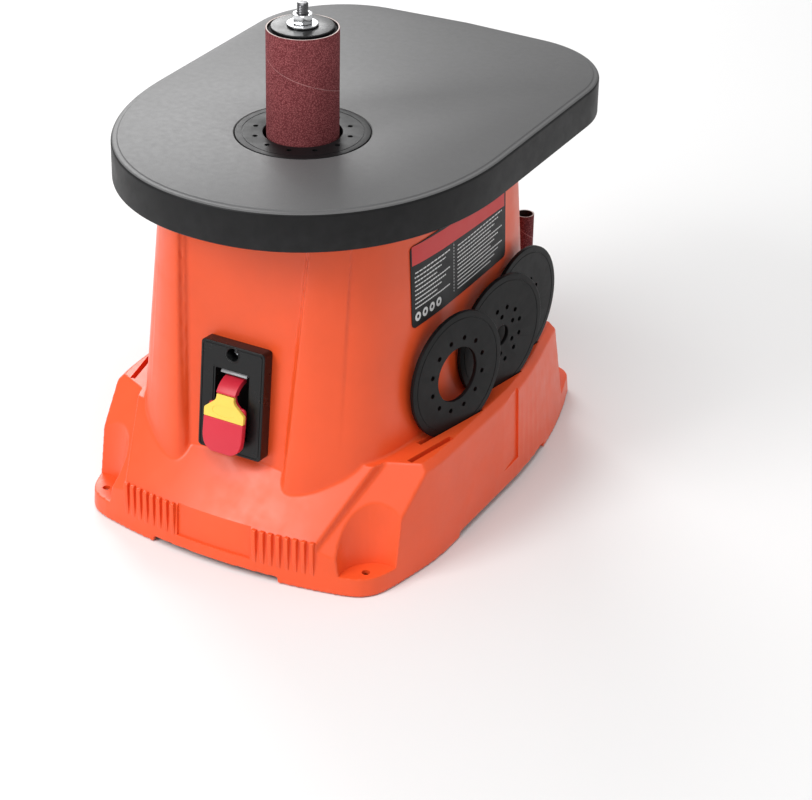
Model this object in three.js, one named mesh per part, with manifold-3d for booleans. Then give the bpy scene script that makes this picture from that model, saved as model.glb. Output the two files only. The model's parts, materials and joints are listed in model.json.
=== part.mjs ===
// Oscillating spindle sander, bench top: moulded housing, cast table, vertical motor with a hollow
// shaft, a spindle that turns with that shaft and slides in it, and a worm-driven crank that lifts it.
// Millimetres, +Z up, front towards -Y. Origin: on the bench, under the middle of the table.

import * as THREE from 'three';
import { mergeVertices } from 'three/addons/utils/BufferGeometryUtils.js';
import Module from 'manifold-3d';

const wasm = await Module();
wasm.setup();

// ---------------------------------------------------------------- driving dimensions

const GAP = 0.3;                    // gap left between pieces that touch
const WALL = 3;                     // wall of the moulded housing

const TABLE_Z = 287;                // working height
const TABLE_HALF_WIDTH = 139.5;
const TABLE_HALF_DEPTH = 190.1;
const TABLE_FRONT_START = -25.3;    // where the round front begins
const TABLE_FRONT_POWER = 2.13;     // superellipse power of the round front
const TABLE_REAR_RADIUS = 76;
const TABLE_REAR_BULGE = 3.1;
const TABLE_SKIRT = 28.7;           // depth of the table's edge
const TABLE_LIP = 4;                // rounding of the table's top edge
const TABLE_PLATE = 9;
const TABLE_SKIRT_WALL = 6;

const SPINDLE_Y = -57.3;            // spindle axis, ahead of the table's middle
const SPINDLE_RADIUS = 6.3;
const STUD_RADIUS = 4;
const STUD_TOP = 381.5;
const SPINDLE_BOTTOM = 27;
const STROKE = 16;                  // full oscillation

const SLEEVE_RADIUS = 25.4;
const SLEEVE_THICKNESS = 1.1;
const SLEEVE_LENGTH = 114.3;
const SLEEVE_TOP = 363.8;
const SLEEVE_BOTTOM = SLEEVE_TOP - SLEEVE_LENGTH;

const INSERT_RADIUS = 47.4;
const INSERT_THICKNESS = 3;
const INSERT_LEDGE = 5;             // width of the ledge that carries the insert
const INSERT_VENTS = 12;

const BASE_FRONT_ARC = 400;         // plan radius of the base's front
const BASE_FRONT_Y = -183.5;
const BASE_REAR_Y = 183;
const BASE_HALF_WIDTH = 135;
const BASE_SIDE_ARC = 438;          // plan radius of the sides, which draw in to the rear
const BASE_SIDE_ARC_Y = 20;
const BASE_BOTTOM = 1;              // the rubber feet hold the moulding this high
const LEDGE_Z = 82;                 // top of the side rails
const LEDGE_CHAMFER = 5;
const DECK_EDGE_Z = 37.6;           // front edge of the sloping deck
const DECK_SLOPE = 1.09;
const DECK_EDGE_RADIUS = BASE_FRONT_ARC - 2.2;
const DECK_CENTRE_Y = BASE_FRONT_Y + BASE_FRONT_ARC;
const FRONT_DRAFT = 0.00032;

const COLUMN_TOP = TABLE_Z - TABLE_PLATE - GAP;
const COLUMN_DRAFT_HEIGHT = 176;    // the column's top section is measured this far above the rails
const COLUMN_LEAN = 20.4;           // how far its front draws back over that height
const COLUMN_FLANGE = 8;

const CORNER_PAD_Z = 15;
const CORNER_POCKET = { x: 120, y: 164.3, radius: 24.6, draft: 0.165 };
const CORNER_HOLE = { x: 109.5, y: 155.5, radius: 3 };
const REAR_HOLE_SHIFT = 8;          // the rear bolt holes sit this much nearer the middle
const FOOT_INSET = 8;               // and each foot this much nearer the middle than its bolt hole

const STORED_INSERTS = [
  { x: 118.0, y: -44.0, z: 121.9, turn: 12.9, lean: 1.5 },
  { x: 118.3, y: 23.2, z: 122.3, turn: 11, lean: 0 },
  { x: 111.4, y: 70.9, z: 121.9, turn: 4.5, lean: 0 },
];
const SLOT_WIDTH = 4.6;
const SLOT_FLOOR = 73;

const PEG = { x: 79, y: 140, radius: 5, top: 110 };
const PEG_SHELF_Z = 46;
const SMALL_SLEEVE_RADIUS = 7;

const SWITCH_Z = 119;               // middle of the switch plate
const SWITCH_Y = -144.4;             // the front panel at that height
const SWITCH_LEAN = 5.45;           // degrees
const SWITCH_PLATE = { width: 51.6, height: 82, depth: 10.5, screwZ: 34.5 };

const MOTOR_PLATE_Z = 100;          // underside of the plate that carries the motor
const MOTOR_PLATE_THICKNESS = 6;
const STATOR = { bottom: 128, top: 172, outer: 52, inner: 29 };
const ROTOR_RADIUS = 28.4;
const SHAFT_RADIUS = 9.5;
const SHAFT_BORE = SPINDLE_RADIUS + 0.35;
const SHAFT_BOTTOM = 58;
const SHAFT_TOP = 215;
const MOTOR_CASE = { outer: 56, inner: 53 };
const UPPER_BRACKET_Z = 203;

const GEAR_MODULE = 1.25;
const WHEEL_TEETH = 34;
const GEAR_Z = 76;                  // height of the worm wheel's axle
const WORM_RADIUS = 11.7;           // pitch radius
const WHEEL_RADIUS = GEAR_MODULE * WHEEL_TEETH / 2;
const WHEEL_X = WORM_RADIUS + WHEEL_RADIUS;
const WHEEL_THICKNESS = 8;
const WHEEL_AXLE_RADIUS = 5;
const CRANK_RADIUS = STROKE / 2;
const CRANK_PIN_RADIUS = 3;
const YOKE_NEAR_Y = 9;
const YOKE_FAR_Y = 14;
const CARRIER_Z = 32;
const CARRIER_THICKNESS = 7;
const GUIDE_X = [-27, 62];
const GUIDE_RADIUS = 4;

const DUCT_Z = 238;
const DUCT_RADIUS = 17.5;
const SHROUD = { bottom: 219, top: 262, outer: 46.5, inner: 44.5 };
const PORT_END_Y = 184;

// ---------------------------------------------------------------- helpers

const degrees = (angle) => THREE.MathUtils.degToRad(angle);

// A closed three.js geometry as a manifold solid.
function solid(geometry) {
  const bare = geometry.clone();
  bare.deleteAttribute('normal');
  bare.deleteAttribute('uv');
  const merged = mergeVertices(bare, 1e-4);
  const index = merged.index.array;
  const triangles = [];
  for (let i = 0; i < index.length; i += 3) {
    const [a, b, c] = [index[i], index[i + 1], index[i + 2]];
    if (a !== b && b !== c && c !== a) triangles.push(a, b, c);
  }
  return new wasm.Manifold(new wasm.Mesh({
    numProp: 3,
    vertProperties: new Float32Array(merged.attributes.position.array),
    triVerts: new Uint32Array(triangles),
  }));
}

function toGeometry(manifold) {
  const mesh = manifold.getMesh();
  const geometry = new THREE.BufferGeometry();
  geometry.setAttribute('position', new THREE.BufferAttribute(new Float32Array(mesh.vertProperties), 3));
  geometry.setIndex(new THREE.BufferAttribute(new Uint32Array(mesh.triVerts), 1));
  geometry.computeVertexNormals();
  return geometry;
}

function box(x0, x1, y0, y1, z0, z1) {
  const geometry = new THREE.BoxGeometry(x1 - x0, y1 - y0, z1 - z0);
  return solid(geometry.translate((x0 + x1) / 2, (y0 + y1) / 2, (z0 + z1) / 2));
}

// An upright cylinder or cone.
function rod(radius, z0, z1, { x = 0, y = 0, top = radius, sides = 20 } = {}) {
  const geometry = new THREE.CylinderGeometry(top, radius, z1 - z0, sides);
  return solid(geometry.rotateX(Math.PI / 2).translate(x, y, (z0 + z1) / 2));
}

// A cylinder along Y.
function rodY(radius, y0, y1, { x = 0, z = 0, sides = 20 } = {}) {
  const geometry = new THREE.CylinderGeometry(radius, radius, y1 - y0, sides);
  return solid(geometry.translate(x, (y0 + y1) / 2, z));
}

// A solid of revolution about Z from [radius, z] points, listed anticlockwise.
function turned(points, sides = 20) {
  const profile = points.map(([r, z]) => new THREE.Vector2(r, z));
  if (points[0][0] > 0) profile.push(profile[0].clone());
  return solid(new THREE.LatheGeometry(profile, sides).rotateX(Math.PI / 2));
}

function ring(outer, inner, z0, z1, sides = 20) {
  return turned([[inner, z0], [outer, z0], [outer, z1], [inner, z1]], sides);
}

// A shape in the XY plane, pulled up from z0 to z1.
function pulled(shape, z0, z1, options = {}) {
  const geometry = new THREE.ExtrudeGeometry(shape, { depth: z1 - z0, bevelEnabled: false, ...options });
  return geometry.translate(0, 0, z0);
}

// A shape whose x is Y and whose y is Z, pulled along X from x0 to x1.
function pulledX(shape, x0, x1) {
  const geometry = new THREE.ExtrudeGeometry(shape, { depth: x1 - x0, bevelEnabled: false });
  return solid(geometry.rotateX(Math.PI / 2).rotateZ(Math.PI / 2).translate(x0, 0, 0));
}

function polygon(points) {
  return new THREE.Shape(points.map(([x, y]) => new THREE.Vector2(x, y)));
}

// Moves every vertex by a function of its place.
function reshaped(geometry, move) {
  const position = geometry.attributes.position;
  const point = new THREE.Vector3();
  for (let i = 0; i < position.count; i += 1) {
    point.fromBufferAttribute(position, i);
    move(point);
    position.setXYZ(i, point.x, point.y, point.z);
  }
  return geometry;
}

// A symmetric outline from its right half, listed from the front to the rear.
function symmetric(right) {
  const left = right.filter(([x]) => x > 1e-6).reverse().map(([x, y]) => [-x, y]);
  return polygon([...right, ...left]);
}

function arcPoints(cx, cy, radius, from, to, steps) {
  return Array.from({ length: steps + 1 }, (_, i) => {
    const angle = degrees(from + (to - from) * i / steps);
    return [cx + radius * Math.cos(angle), cy + radius * Math.sin(angle)];
  });
}

function splinePoints(points, count) {
  const curve = new THREE.SplineCurve(points.map(([x, y]) => new THREE.Vector2(x, y)));
  return curve.getPoints(count).map((p) => [p.x, p.y]);
}

const mix = (from, to, share) => from + (to - from) * share;
const share = (value, from, to) => THREE.MathUtils.clamp((value - from) / (to - from), 0, 1);

function mirrored(manifold) {
  return manifold.mirror([1, 0, 0]);
}

// ---------------------------------------------------------------- materials

function plain(color, roughness, metalness = 0) {
  return new THREE.MeshStandardMaterial({ color, roughness, metalness });
}

const MATERIALS = {
  orange: plain(0xf26a3d, 0.45),
  table: plain(0x5a5b5d, 0.5, 0.3),
  black: plain(0x1c1d1f, 0.55),
  rubber: plain(0x141414, 0.9),
  abrasive: plain(0x6e2a2b, 0.95),
  zinc: plain(0xb8babb, 0.35, 0.9),
  steel: plain(0x9a9da0, 0.4, 0.9),
  laminations: plain(0x6b6e72, 0.5, 0.8),
  copper: plain(0xb06a3a, 0.4, 0.7),
  aluminium: plain(0xa9abad, 0.5, 0.7),
  bronze: plain(0xa9823f, 0.45, 0.7),
  red: plain(0xc8283c, 0.4),
  yellow: plain(0xf2d338, 0.45),
  label: plain(0x202124, 0.4),
};

const sander = new THREE.Group();

function part(name, manifold, material, parent = sander) {
  const mesh = new THREE.Mesh(toGeometry(manifold), MATERIALS[material]);
  mesh.name = name;
  parent.add(mesh);
  return mesh;
}

// Everything that shares the spindle's axis sits in this group.
const spindleLine = new THREE.Group();
spindleLine.position.y = SPINDLE_Y;
sander.add(spindleLine);

// ---------------------------------------------------------------- housing: the base

// Plan of the base on the bench, drawn in by an inset.
function baseOutline(inset) {
  const frontY = BASE_FRONT_Y + inset;
  const side = BASE_HALF_WIDTH - inset;
  const sideX = (y) => side - Math.max(0, y - BASE_SIDE_ARC_Y) ** 2 / (2 * BASE_SIDE_ARC);
  const front = [0, 20, 40, 60, 80, 100 - inset].map((x) => [x, frontY + x * x / (2 * BASE_FRONT_ARC)]);
  const corner = splinePoints([
    [100 - inset, front[5][1]], [113 - inset, -165 + inset], [122 - inset, -152 + inset / 2],
    [129.5 - inset, -122], [side - 1, -95], [side, -65],
  ], inset ? 5 : 8).slice(1);
  const sides = [BASE_SIDE_ARC_Y, 40, 60, 78, 95, 110, 125, 150].map((y) => [sideX(y), y]);
  const rearX = sideX(160) - 6;
  const rear = arcPoints(rearX - 16, BASE_REAR_Y - inset - 20, 20, 10, 90, inset ? 2 : 4);
  return symmetric([...front, ...corner, ...sides, ...rear]);
}

// The walls lean in as they rise, most of all along the rear half.
function baseDraft(point) {
  const rise = Math.max(0, point.z);
  const sideDraft = mix(2, 7.5, share(point.y, BASE_SIDE_ARC_Y, 105));
  point.x *= 1 - sideDraft * rise / 77 / BASE_HALF_WIDTH;
  point.y *= 1 - FRONT_DRAFT * rise;
}

// The raised middle of the front, between the two ramps.
function tonguePrism(inset) {
  return solid(pulled(polygon([
    [-80 + inset, -210], [80 - inset, -210], [80 - inset, -173], [98.4 - inset, -127],
    [102.5 - inset, -116.6], [102.5 - inset, 60], [-102.5 + inset, 60], [-102.5 + inset, -116.6],
    [-98.4 + inset, -127], [-80 + inset, -173],
  ]), -10, 120));
}

// Everything under the deck: a cone about the centre of the front's arc.
function underDeck(inset) {
  const edge = DECK_EDGE_Z - inset;
  const rise = 120;
  const profile = [[150, -20], [DECK_EDGE_RADIUS + 40, -20],
    [DECK_EDGE_RADIUS + 40, edge - 40 * DECK_SLOPE],
    [DECK_EDGE_RADIUS - rise / DECK_SLOPE, edge + rise], [150, edge + rise]];
  const points = profile.map(([r, z]) => new THREE.Vector2(r, z));
  points.push(points[0].clone());
  const spread = degrees(60);
  const cone = new THREE.LatheGeometry(points, 80).rotateX(Math.PI / 2);
  const reach = 600 * Math.tan(spread / 2);
  const wedge = pulled(polygon([[0, 0], [-reach, -600], [reach, -600]]), -30, 200);
  return solid(cone.translate(0, DECK_CENTRE_Y, 0)).intersect(solid(wedge.translate(0, DECK_CENTRE_Y, 0)));
}

// What the two front ramps cut away. Each runs down from the front end of a rail's ledge.
function rampCut(inset) {
  const cut = new THREE.BoxGeometry(400, 400, 200).translate(0, 0, 100);
  const slope = Math.atan(1.176);
  const turn = Math.atan2(12.2, 26.1);
  cut.rotateX(slope).rotateZ(turn).translate(101.5, -116.6, LEDGE_Z - inset);
  const right = solid(cut).intersect(box(0, 300, -400, -40, -20, 200));
  return right.add(mirrored(right));
}

// The round pockets over the four bolt-down pads.
function cornerPockets(inset) {
  const { x, y, radius, draft } = CORNER_POCKET;
  const floor = CORNER_PAD_Z - inset;
  const grow = radius + inset;
  let pockets = null;
  for (const side of [-1, 1]) {
    for (const [end, px, py] of [[-1, x, y], [1, x - 8, y + 2]]) {
      const top = grow + draft * (100 - floor);
      const pocket = rod(grow, floor, 100, { x: side * px, y: end * py, top, sides: inset ? 12 : 28 });
      pockets = pockets ? pockets.add(pocket) : pocket;
    }
  }
  return pockets;
}

function baseForm(inset) {
  const top = LEDGE_Z - inset;
  const bevel = { bevelEnabled: true, bevelThickness: LEDGE_CHAMFER, bevelSize: LEDGE_CHAMFER,
    bevelOffset: -LEDGE_CHAMFER, bevelSegments: 1 };
  const block = reshaped(pulled(baseOutline(inset), -20, top - LEDGE_CHAMFER, bevel), baseDraft);
  const body = solid(block).intersect(box(-200, 200, -200, 200, inset ? -10 : BASE_BOTTOM, 120));
  const rails = body.subtract(rampCut(inset)).subtract(tonguePrism(inset ? inset + 0.1 : 0));
  const tongue = body.intersect(tonguePrism(inset)).intersect(underDeck(inset)
    .add(box(-120, 120, -120, 190, -20, 119)));
  const shelf = box(-200, 200, 108, 200, PEG_SHELF_Z - inset, 120);
  return rails.add(tongue).subtract(shelf.subtract(railEnds(inset))).subtract(cornerPockets(inset));
}

// The rails' rear ends, which stay at ledge height either side of the low rear shelf.
function railEnds(inset) {
  const right = box(96 + inset, 200, 100, 150 - inset, 0, 121);
  return right.add(mirrored(right));
}

const BASE_FORM = baseForm(0);

// ---------------------------------------------------------------- housing: the column

// Plan of the column at ledge height, pulled in by an inset.
function columnOutline(inset) {
  const panelX = 39.6;
  const panelY = -147.6;
  const lobe = splinePoints([
    [panelX, panelY], [42.5, -153], [47.5, -155.4], [58, -152.6], [72, -145.2], [87, -133], [97.5, -115],
    [104, -86], [106.6, -45],
  ], inset > 1 ? 8 : 16);
  const side = [[107, 0], [106.5, 57]];
  const rear = splinePoints([
    [106.5, 57], [104.5, 82], [98, 106], [83, 124], [55, 132], [0, 134],
  ], inset > 1 ? 5 : 10).slice(1);
  const wide = (107 - inset) / 107;
  const deep = (145 - inset) / 145;
  const pull = ([x, y]) => [x * wide, (y + 11) * deep - 11];
  return symmetric([[0, panelY], ...lobe, ...side, ...rear].map(pull));
}

// The column narrows as it rises, its front leans back, and its panel widens and comes forward.
function columnDraft(point) {
  const rise = (point.z - LEDGE_Z) / COLUMN_DRAFT_HEIGHT;
  const x = Math.abs(point.x);
  const onPanel = x < 41 && point.y < -100;
  let topX = x * 101 / 107;
  if (point.y < -140) topX = onPanel ? x * 49.4 / 39.6 : mix(53, 84, share(x, 47.5, 87));
  const frontShift = onPanel ? 16.8 : COLUMN_LEAN;
  const front = frontShift * share(point.y, -15, -105);
  const rear = -22 * share(point.y, 57, 125);
  point.x = Math.sign(point.x) * mix(x, topX, rise);
  point.y += (front + rear) * rise;
}

function columnForm(inset, bottom, top) {
  return solid(reshaped(pulled(columnOutline(inset), bottom, top), columnDraft));
}

// ---------------------------------------------------------------- housing: details

// A slot in a rail for a stored insert, from its middle, direction and length.
function slotCutter({ x, y, turn }, length, width, z0, z1) {
  const cutter = new THREE.BoxGeometry(width, length, z1 - z0).rotateZ(-degrees(turn));
  return solid(cutter.translate(x, y, (z0 + z1) / 2));
}

const SLOTS = [
  { place: { x: 121.1, y: -85.5, turn: 12.2 }, length: 45.5 },
  { place: { x: 117.7, y: -50, turn: 12.9 }, length: 68 },
  { place: { x: 118.3, y: 23.2, turn: 11 }, length: 53 },
  { place: { x: 111.4, y: 70.9, turn: 4.5 }, length: 53 },
];

function slots(extraWidth, extraLength, z0, z1) {
  const right = SLOTS.map(({ place, length }) => slotCutter(place, length + extraLength,
    SLOT_WIDTH + extraWidth, z0, z1)).reduce((all, one) => all.add(one));
  return right.add(mirrored(right));
}

// Upright grip ribs on the base's front: each stands proud at the top and fades out lower down.
function frontRibs() {
  const first = 34;
  const pitch = 6.2;
  let ribs = null;
  for (let i = 0; i < 8; i += 1) {
    const x = first + i * pitch;
    const face = BASE_FRONT_Y + x * x / (2 * BASE_FRONT_ARC);
    const rib = pulledX(polygon([[face + 2.6, 12], [face + 0.5, 13], [face + 0.1, DECK_EDGE_Z + 1],
      [face + 8, DECK_EDGE_Z - 2]]), x - 1.3, x + 1.3);
    ribs = ribs ? ribs.add(rib) : rib;
  }
  return ribs.add(mirrored(ribs));
}

// A shallow wedge-shaped finger recess in the outside of each rail. Its floor leans with the wall.
function sideRecesses() {
  const wedge = polygon([[135.2, 3], [150, 3], [150, 31], [133.3, 31]]);
  const right = solid(reshaped(pulled(wedge, 20, 100), baseDraft));
  return right.add(mirrored(right));
}

// A shallow flat-bottomed panel in the middle of the base's front.
function frontPanel() {
  const behind = solid(reshaped(pulled(baseOutline(0.9), -20, 120), baseDraft));
  return box(-30.5, 30.5, -200, -150, 14.1, 60).subtract(behind);
}

// The lower edge is cut back between the four feet.
function edgeRelief() {
  const height = BASE_BOTTOM + 4;
  return box(-52, 52, -200, 200, 0, height).add(box(-200, 200, -62, 83, 0, height));
}

function housing() {
  const outer = BASE_FORM.add(columnForm(0, 50, COLUMN_TOP));
  const columnCavity = columnForm(WALL, LEDGE_Z - 20, COLUMN_TOP - COLUMN_FLANGE);
  const troughs = slots(5, 6, SLOT_FLOOR - 3, LEDGE_Z - 1).intersect(BASE_FORM);
  return outer.subtract(baseForm(WALL).add(columnCavity))
    .add(troughs)
    .add(motorBosses())
    .add(frontRibs())
    .subtract(slots(0, 0, SLOT_FLOOR, LEDGE_Z + 5))
    .subtract(sideRecesses())
    .subtract(frontPanel())
    .subtract(edgeRelief())
    .subtract(housingOpenings());
}

// Four bosses that carry the motor plate.
const BOSSES = [[-66, -100], [66, -100], [-66, -10], [66, -10]];

function motorBosses() {
  const bars = BOSSES.map(([x, y]) => {
    const side = Math.sign(x);
    const web = box(Math.min(x, side * 105), Math.max(x, side * 105), y - 3, y + 3, LEDGE_Z - 2, 92);
    return rod(7, LEDGE_Z - 2, MOTOR_PLATE_Z - GAP, { x, y, sides: 14 }).add(web);
  });
  return bars.reduce((all, one) => all.add(one)).intersect(columnForm(1, 60, COLUMN_TOP));
}

const TABLE_BOLTS = [[-76, -92], [76, -92], [-70, 62], [70, 62]];
const VENT_COVER = { halfWidth: 48, bottom: 96, top: 196 };

// Holes through the housing: table bolts, dust shroud, dust port, switch, rear cover, pads and cord.
function housingOpenings() {
  let holes = rod(60, COLUMN_TOP - 30, COLUMN_TOP + 5, { y: SPINDLE_Y, sides: 36 });
  holes = holes.add(box(-62, 62, 20, 100, COLUMN_TOP - 30, COLUMN_TOP + 5));
  for (const [x, y] of TABLE_BOLTS) {
    holes = holes.add(rod(4.5, COLUMN_TOP - 30, COLUMN_TOP + 5, { x, y, sides: 14 }));
  }
  holes = holes.add(rodY(DUCT_RADIUS + GAP, 60, 200, { z: DUCT_Z, sides: 18 }));
  holes = holes.add(box(-21, 21, -165, -110, SWITCH_Z - 33, SWITCH_Z + 27));
  holes = holes.add(rodY(2.6, -160, -120, { z: SWITCH_Z + SWITCH_PLATE.screwZ, sides: 12 }));
  const { halfWidth, bottom, top } = VENT_COVER;
  holes = holes.add(box(-halfWidth + 6, halfWidth - 6, 90, 170, bottom + 6, top - 6));
  for (const side of [-1, 1]) {
    for (const end of [-1, 1]) {
      const { x, y, radius } = CORNER_HOLE;
      const along = end < 0 ? 0 : -REAR_HOLE_SHIFT;
      holes = holes.add(rod(radius, 0, 30, { x: side * (x + along), y: end * y, sides: 14 }));
    }
  }
  return holes.add(rodY(8, 150, 200, { x: -60, z: 24, sides: 18 }));
}

part('housing', housing(), 'orange');

// ---------------------------------------------------------------- housing: its separate covers

// The plate that closes the underside, cut with air slots.
function bottomPlate() {
  const z0 = 6;
  const outline = symmetric([[0, -167], [84, -157], [84, -124], [124, -118], [124, 20], [117, 88],
    [106, 120], [80, 124], [80, 166], [0, 166]]);
  let plate = solid(pulled(outline, z0, z0 + 2.4));
  for (let i = 0; i < 6; i += 1) {
    const y = 20 + i * 12;
    plate = plate.subtract(box(-50, 50, y, y + 5, z0 - 1, z0 + 4));
  }
  return plate;
}

// The vented cover behind the motor, which follows the lean of the rear wall.
function rearCover() {
  const { halfWidth, bottom, top } = VENT_COVER;
  const depth = 2.5;
  let cover = box(-halfWidth, halfWidth, 0, depth, 0, top - bottom);
  for (let i = 0; i < 7; i += 1) {
    const z = 18 + i * 10;
    cover = cover.subtract(box(-30, 30, -1, depth + 1, z, z + 4));
  }
  return cover;
}

function rubberFoot() {
  const top = CORNER_PAD_Z - WALL - GAP;
  return turned([[2.6, 0], [8, 0], [8, 4], [6.5, 4], [6.5, top], [2.6, top]], 16);
}

part('bottom_plate', bottomPlate(), 'black');
const cover = part('rear_cover', rearCover(), 'black');
cover.position.set(0, 132.9, VENT_COVER.bottom);
cover.rotation.x = Math.atan2(22, COLUMN_DRAFT_HEIGHT);

[[-1, -1], [1, -1], [-1, 1], [1, 1]].forEach(([side, end], i) => {
  const along = end < 0 ? 0 : -REAR_HOLE_SHIFT;
  const foot = part(`rubber_foot_${i + 1}`, rubberFoot(), 'rubber');
  foot.position.set(side * (CORNER_HOLE.x + along - FOOT_INSET), end * (CORNER_HOLE.y - FOOT_INSET), 0);
});

// ---------------------------------------------------------------- table

function tableOutline(inset) {
  const half = TABLE_HALF_WIDTH - inset;
  const reach = TABLE_HALF_DEPTH + TABLE_FRONT_START - inset;
  const steps = 12;
  const front = Array.from({ length: steps + 1 }, (_, i) => {
    const angle = Math.PI / 2 * i / steps;
    const x = half * Math.sin(angle) ** (2 / TABLE_FRONT_POWER);
    const y = TABLE_FRONT_START - reach * Math.cos(angle) ** (2 / TABLE_FRONT_POWER);
    return [x, y];
  });
  const radius = TABLE_REAR_RADIUS - inset;
  const cornerY = TABLE_HALF_DEPTH - TABLE_REAR_BULGE - TABLE_REAR_RADIUS;
  const corner = arcPoints(half - radius, cornerY, radius, 0, 88, 6);
  return symmetric([...front, ...corner, [0, TABLE_HALF_DEPTH - inset]]);
}

function tableTop() {
  const lip = { bevelEnabled: true, bevelThickness: TABLE_LIP, bevelSize: TABLE_LIP,
    bevelOffset: -TABLE_LIP, bevelSegments: 2 };
  const bottom = TABLE_Z - TABLE_SKIRT;
  const block = solid(pulled(tableOutline(0), bottom - 10, TABLE_Z - TABLE_LIP, lip))
    .intersect(box(-200, 200, -200, 200, bottom, TABLE_Z + 5));
  const hollow = solid(pulled(tableOutline(TABLE_SKIRT_WALL), bottom - 1, TABLE_Z - TABLE_PLATE));
  const y = SPINDLE_Y;
  const collar = rod(INSERT_RADIUS + 4, SHROUD.top + GAP, TABLE_Z - TABLE_PLATE + 1, { y, sides: 36 });
  let top = block.subtract(hollow).add(collar);
  for (const [bx, by] of TABLE_BOLTS) {
    top = top.add(rod(9, COLUMN_TOP + GAP, TABLE_Z - TABLE_PLATE + 1, { x: bx, y: by, sides: 14 }));
    top = top.subtract(rod(3.4, COLUMN_TOP - 1, TABLE_Z - 4, { x: bx, y: by, sides: 14 }));
  }
  const seat = rod(INSERT_RADIUS + 0.5, TABLE_Z - INSERT_THICKNESS - GAP, TABLE_Z + 2, { y, sides: 36 });
  const hole = rod(INSERT_RADIUS - INSERT_LEDGE, TABLE_Z - 40, TABLE_Z + 2, { y, sides: 36 });
  return top.subtract(seat).subtract(hole);
}

part('table_top', tableTop(), 'table');

TABLE_BOLTS.forEach(([x, y], i) => {
  const underFlange = COLUMN_TOP - COLUMN_FLANGE - GAP;
  const bolt = rod(7, underFlange - 6, underFlange, { sides: 6 })
    .add(rod(3, underFlange - 1, TABLE_Z - 6, { sides: 12 }));
  part(`table_bolt_${i + 1}`, bolt, 'zinc').position.set(x, y, 0);
});

// ---------------------------------------------------------------- inserts

// A round insert with a shaft hole and rings of small dust holes.
function insert(holeRadius, ventRings) {
  let disc = ring(INSERT_RADIUS, holeRadius, 0, INSERT_THICKNESS, 32);
  for (const { radius, count, turn } of ventRings) {
    for (let i = 0; i < count; i += 1) {
      const angle = degrees(turn + 360 * i / count);
      disc = disc.subtract(rod(1.8, -1, INSERT_THICKNESS + 1,
        { x: radius * Math.cos(angle), y: radius * Math.sin(angle), sides: 4 }));
    }
  }
  return disc;
}

const MOUNTED_HOLE = 27.7;
const mounted = insert(MOUNTED_HOLE, [{ radius: 34, count: INSERT_VENTS, turn: 15 }]);
part('table_insert', mounted, 'black', spindleLine).position.z = TABLE_Z - INSERT_THICKNESS;

const STORED_HOLES = [
  [20.5, [{ radius: 27.5, count: 12, turn: 15 }]],
  [8, [{ radius: 15, count: 6, turn: 0 }, { radius: 22, count: 12, turn: 15 }]],
  [14, [{ radius: 22, count: 12, turn: 0 }]],
];
STORED_INSERTS.forEach(({ x, y, z, turn, lean }, i) => {
  const stand = new THREE.Group();
  stand.position.set(x, y, z);
  stand.rotation.set(0, degrees(90 - lean), -degrees(turn), 'ZYX');
  sander.add(stand);
  const disc = part(`stored_insert_${i + 1}`, insert(...STORED_HOLES[i]), 'black', stand);
  disc.position.z = -INSERT_THICKNESS / 2;
});

// ---------------------------------------------------------------- stored sleeves

[-1, 1].forEach((side) => {
  const name = side > 0 ? 'sleeve_peg_right' : 'sleeve_peg_left';
  const peg = rod(PEG.radius, 0, PEG.top - PEG_SHELF_Z, { sides: 14 }).add(rod(9, 0, 2, { sides: 18 }));
  part(name, peg, 'black').position.set(side * PEG.x, PEG.y, PEG_SHELF_Z + GAP);
});
const smallSleeve = ring(SMALL_SLEEVE_RADIUS, SMALL_SLEEVE_RADIUS - 1.1, 0, SLEEVE_LENGTH, 18);
part('stored_sleeve', smallSleeve, 'abrasive').position.set(PEG.x, PEG.y, PEG_SHELF_Z + 2 + 2 * GAP);

// ---------------------------------------------------------------- switch

const switchGroup = new THREE.Group();
switchGroup.position.set(0, SWITCH_Y, SWITCH_Z);
switchGroup.rotation.x = -degrees(SWITCH_LEAN);
sander.add(switchGroup);

const WINDOW = { halfWidth: 13.8, bottom: -27, top: 22 };

function switchPlate() {
  const { width, height, depth, screwZ } = SWITCH_PLATE;
  const half = width / 2;
  const face = new THREE.Shape();
  const radius = 3;
  face.moveTo(-half + radius, -height / 2);
  face.absarc(half - radius, -height / 2 + radius, radius, -Math.PI / 2, 0);
  face.absarc(half - radius, height / 2 - radius, radius, 0, Math.PI / 2);
  face.absarc(-half + radius, height / 2 - radius, radius, Math.PI / 2, Math.PI);
  face.absarc(-half + radius, -height / 2 + radius, radius, Math.PI, 1.5 * Math.PI);
  const plate = new THREE.ExtrudeGeometry(face, { depth, bevelEnabled: false, curveSegments: 4 });
  const { halfWidth, bottom, top } = WINDOW;
  return solid(plate.rotateX(Math.PI / 2))
    .subtract(box(-halfWidth, halfWidth, -20, 5, bottom, top))
    .subtract(rodY(4.6, -20, -2.2, { z: screwZ, sides: 14 }))
    .subtract(rodY(2.2, -20, 5, { z: screwZ, sides: 12 }));
}

// The switch itself: a box behind the plate, its face in the window, and an indicator strip above.
function switchBody() {
  const { halfWidth, bottom, top } = WINDOW;
  const inner = box(-halfWidth + 0.5, halfWidth - 0.5, -0.8, 8, bottom + 0.5, top - 0.5);
  const body = box(-18, 18, 7, 26, bottom - 2, top + 2);
  const indicator = box(-halfWidth + 3.2, halfWidth - 3.2, -8.2, 0, top - 3.8, top - 0.8);
  return inner.add(body).add(indicator);
}

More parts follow.
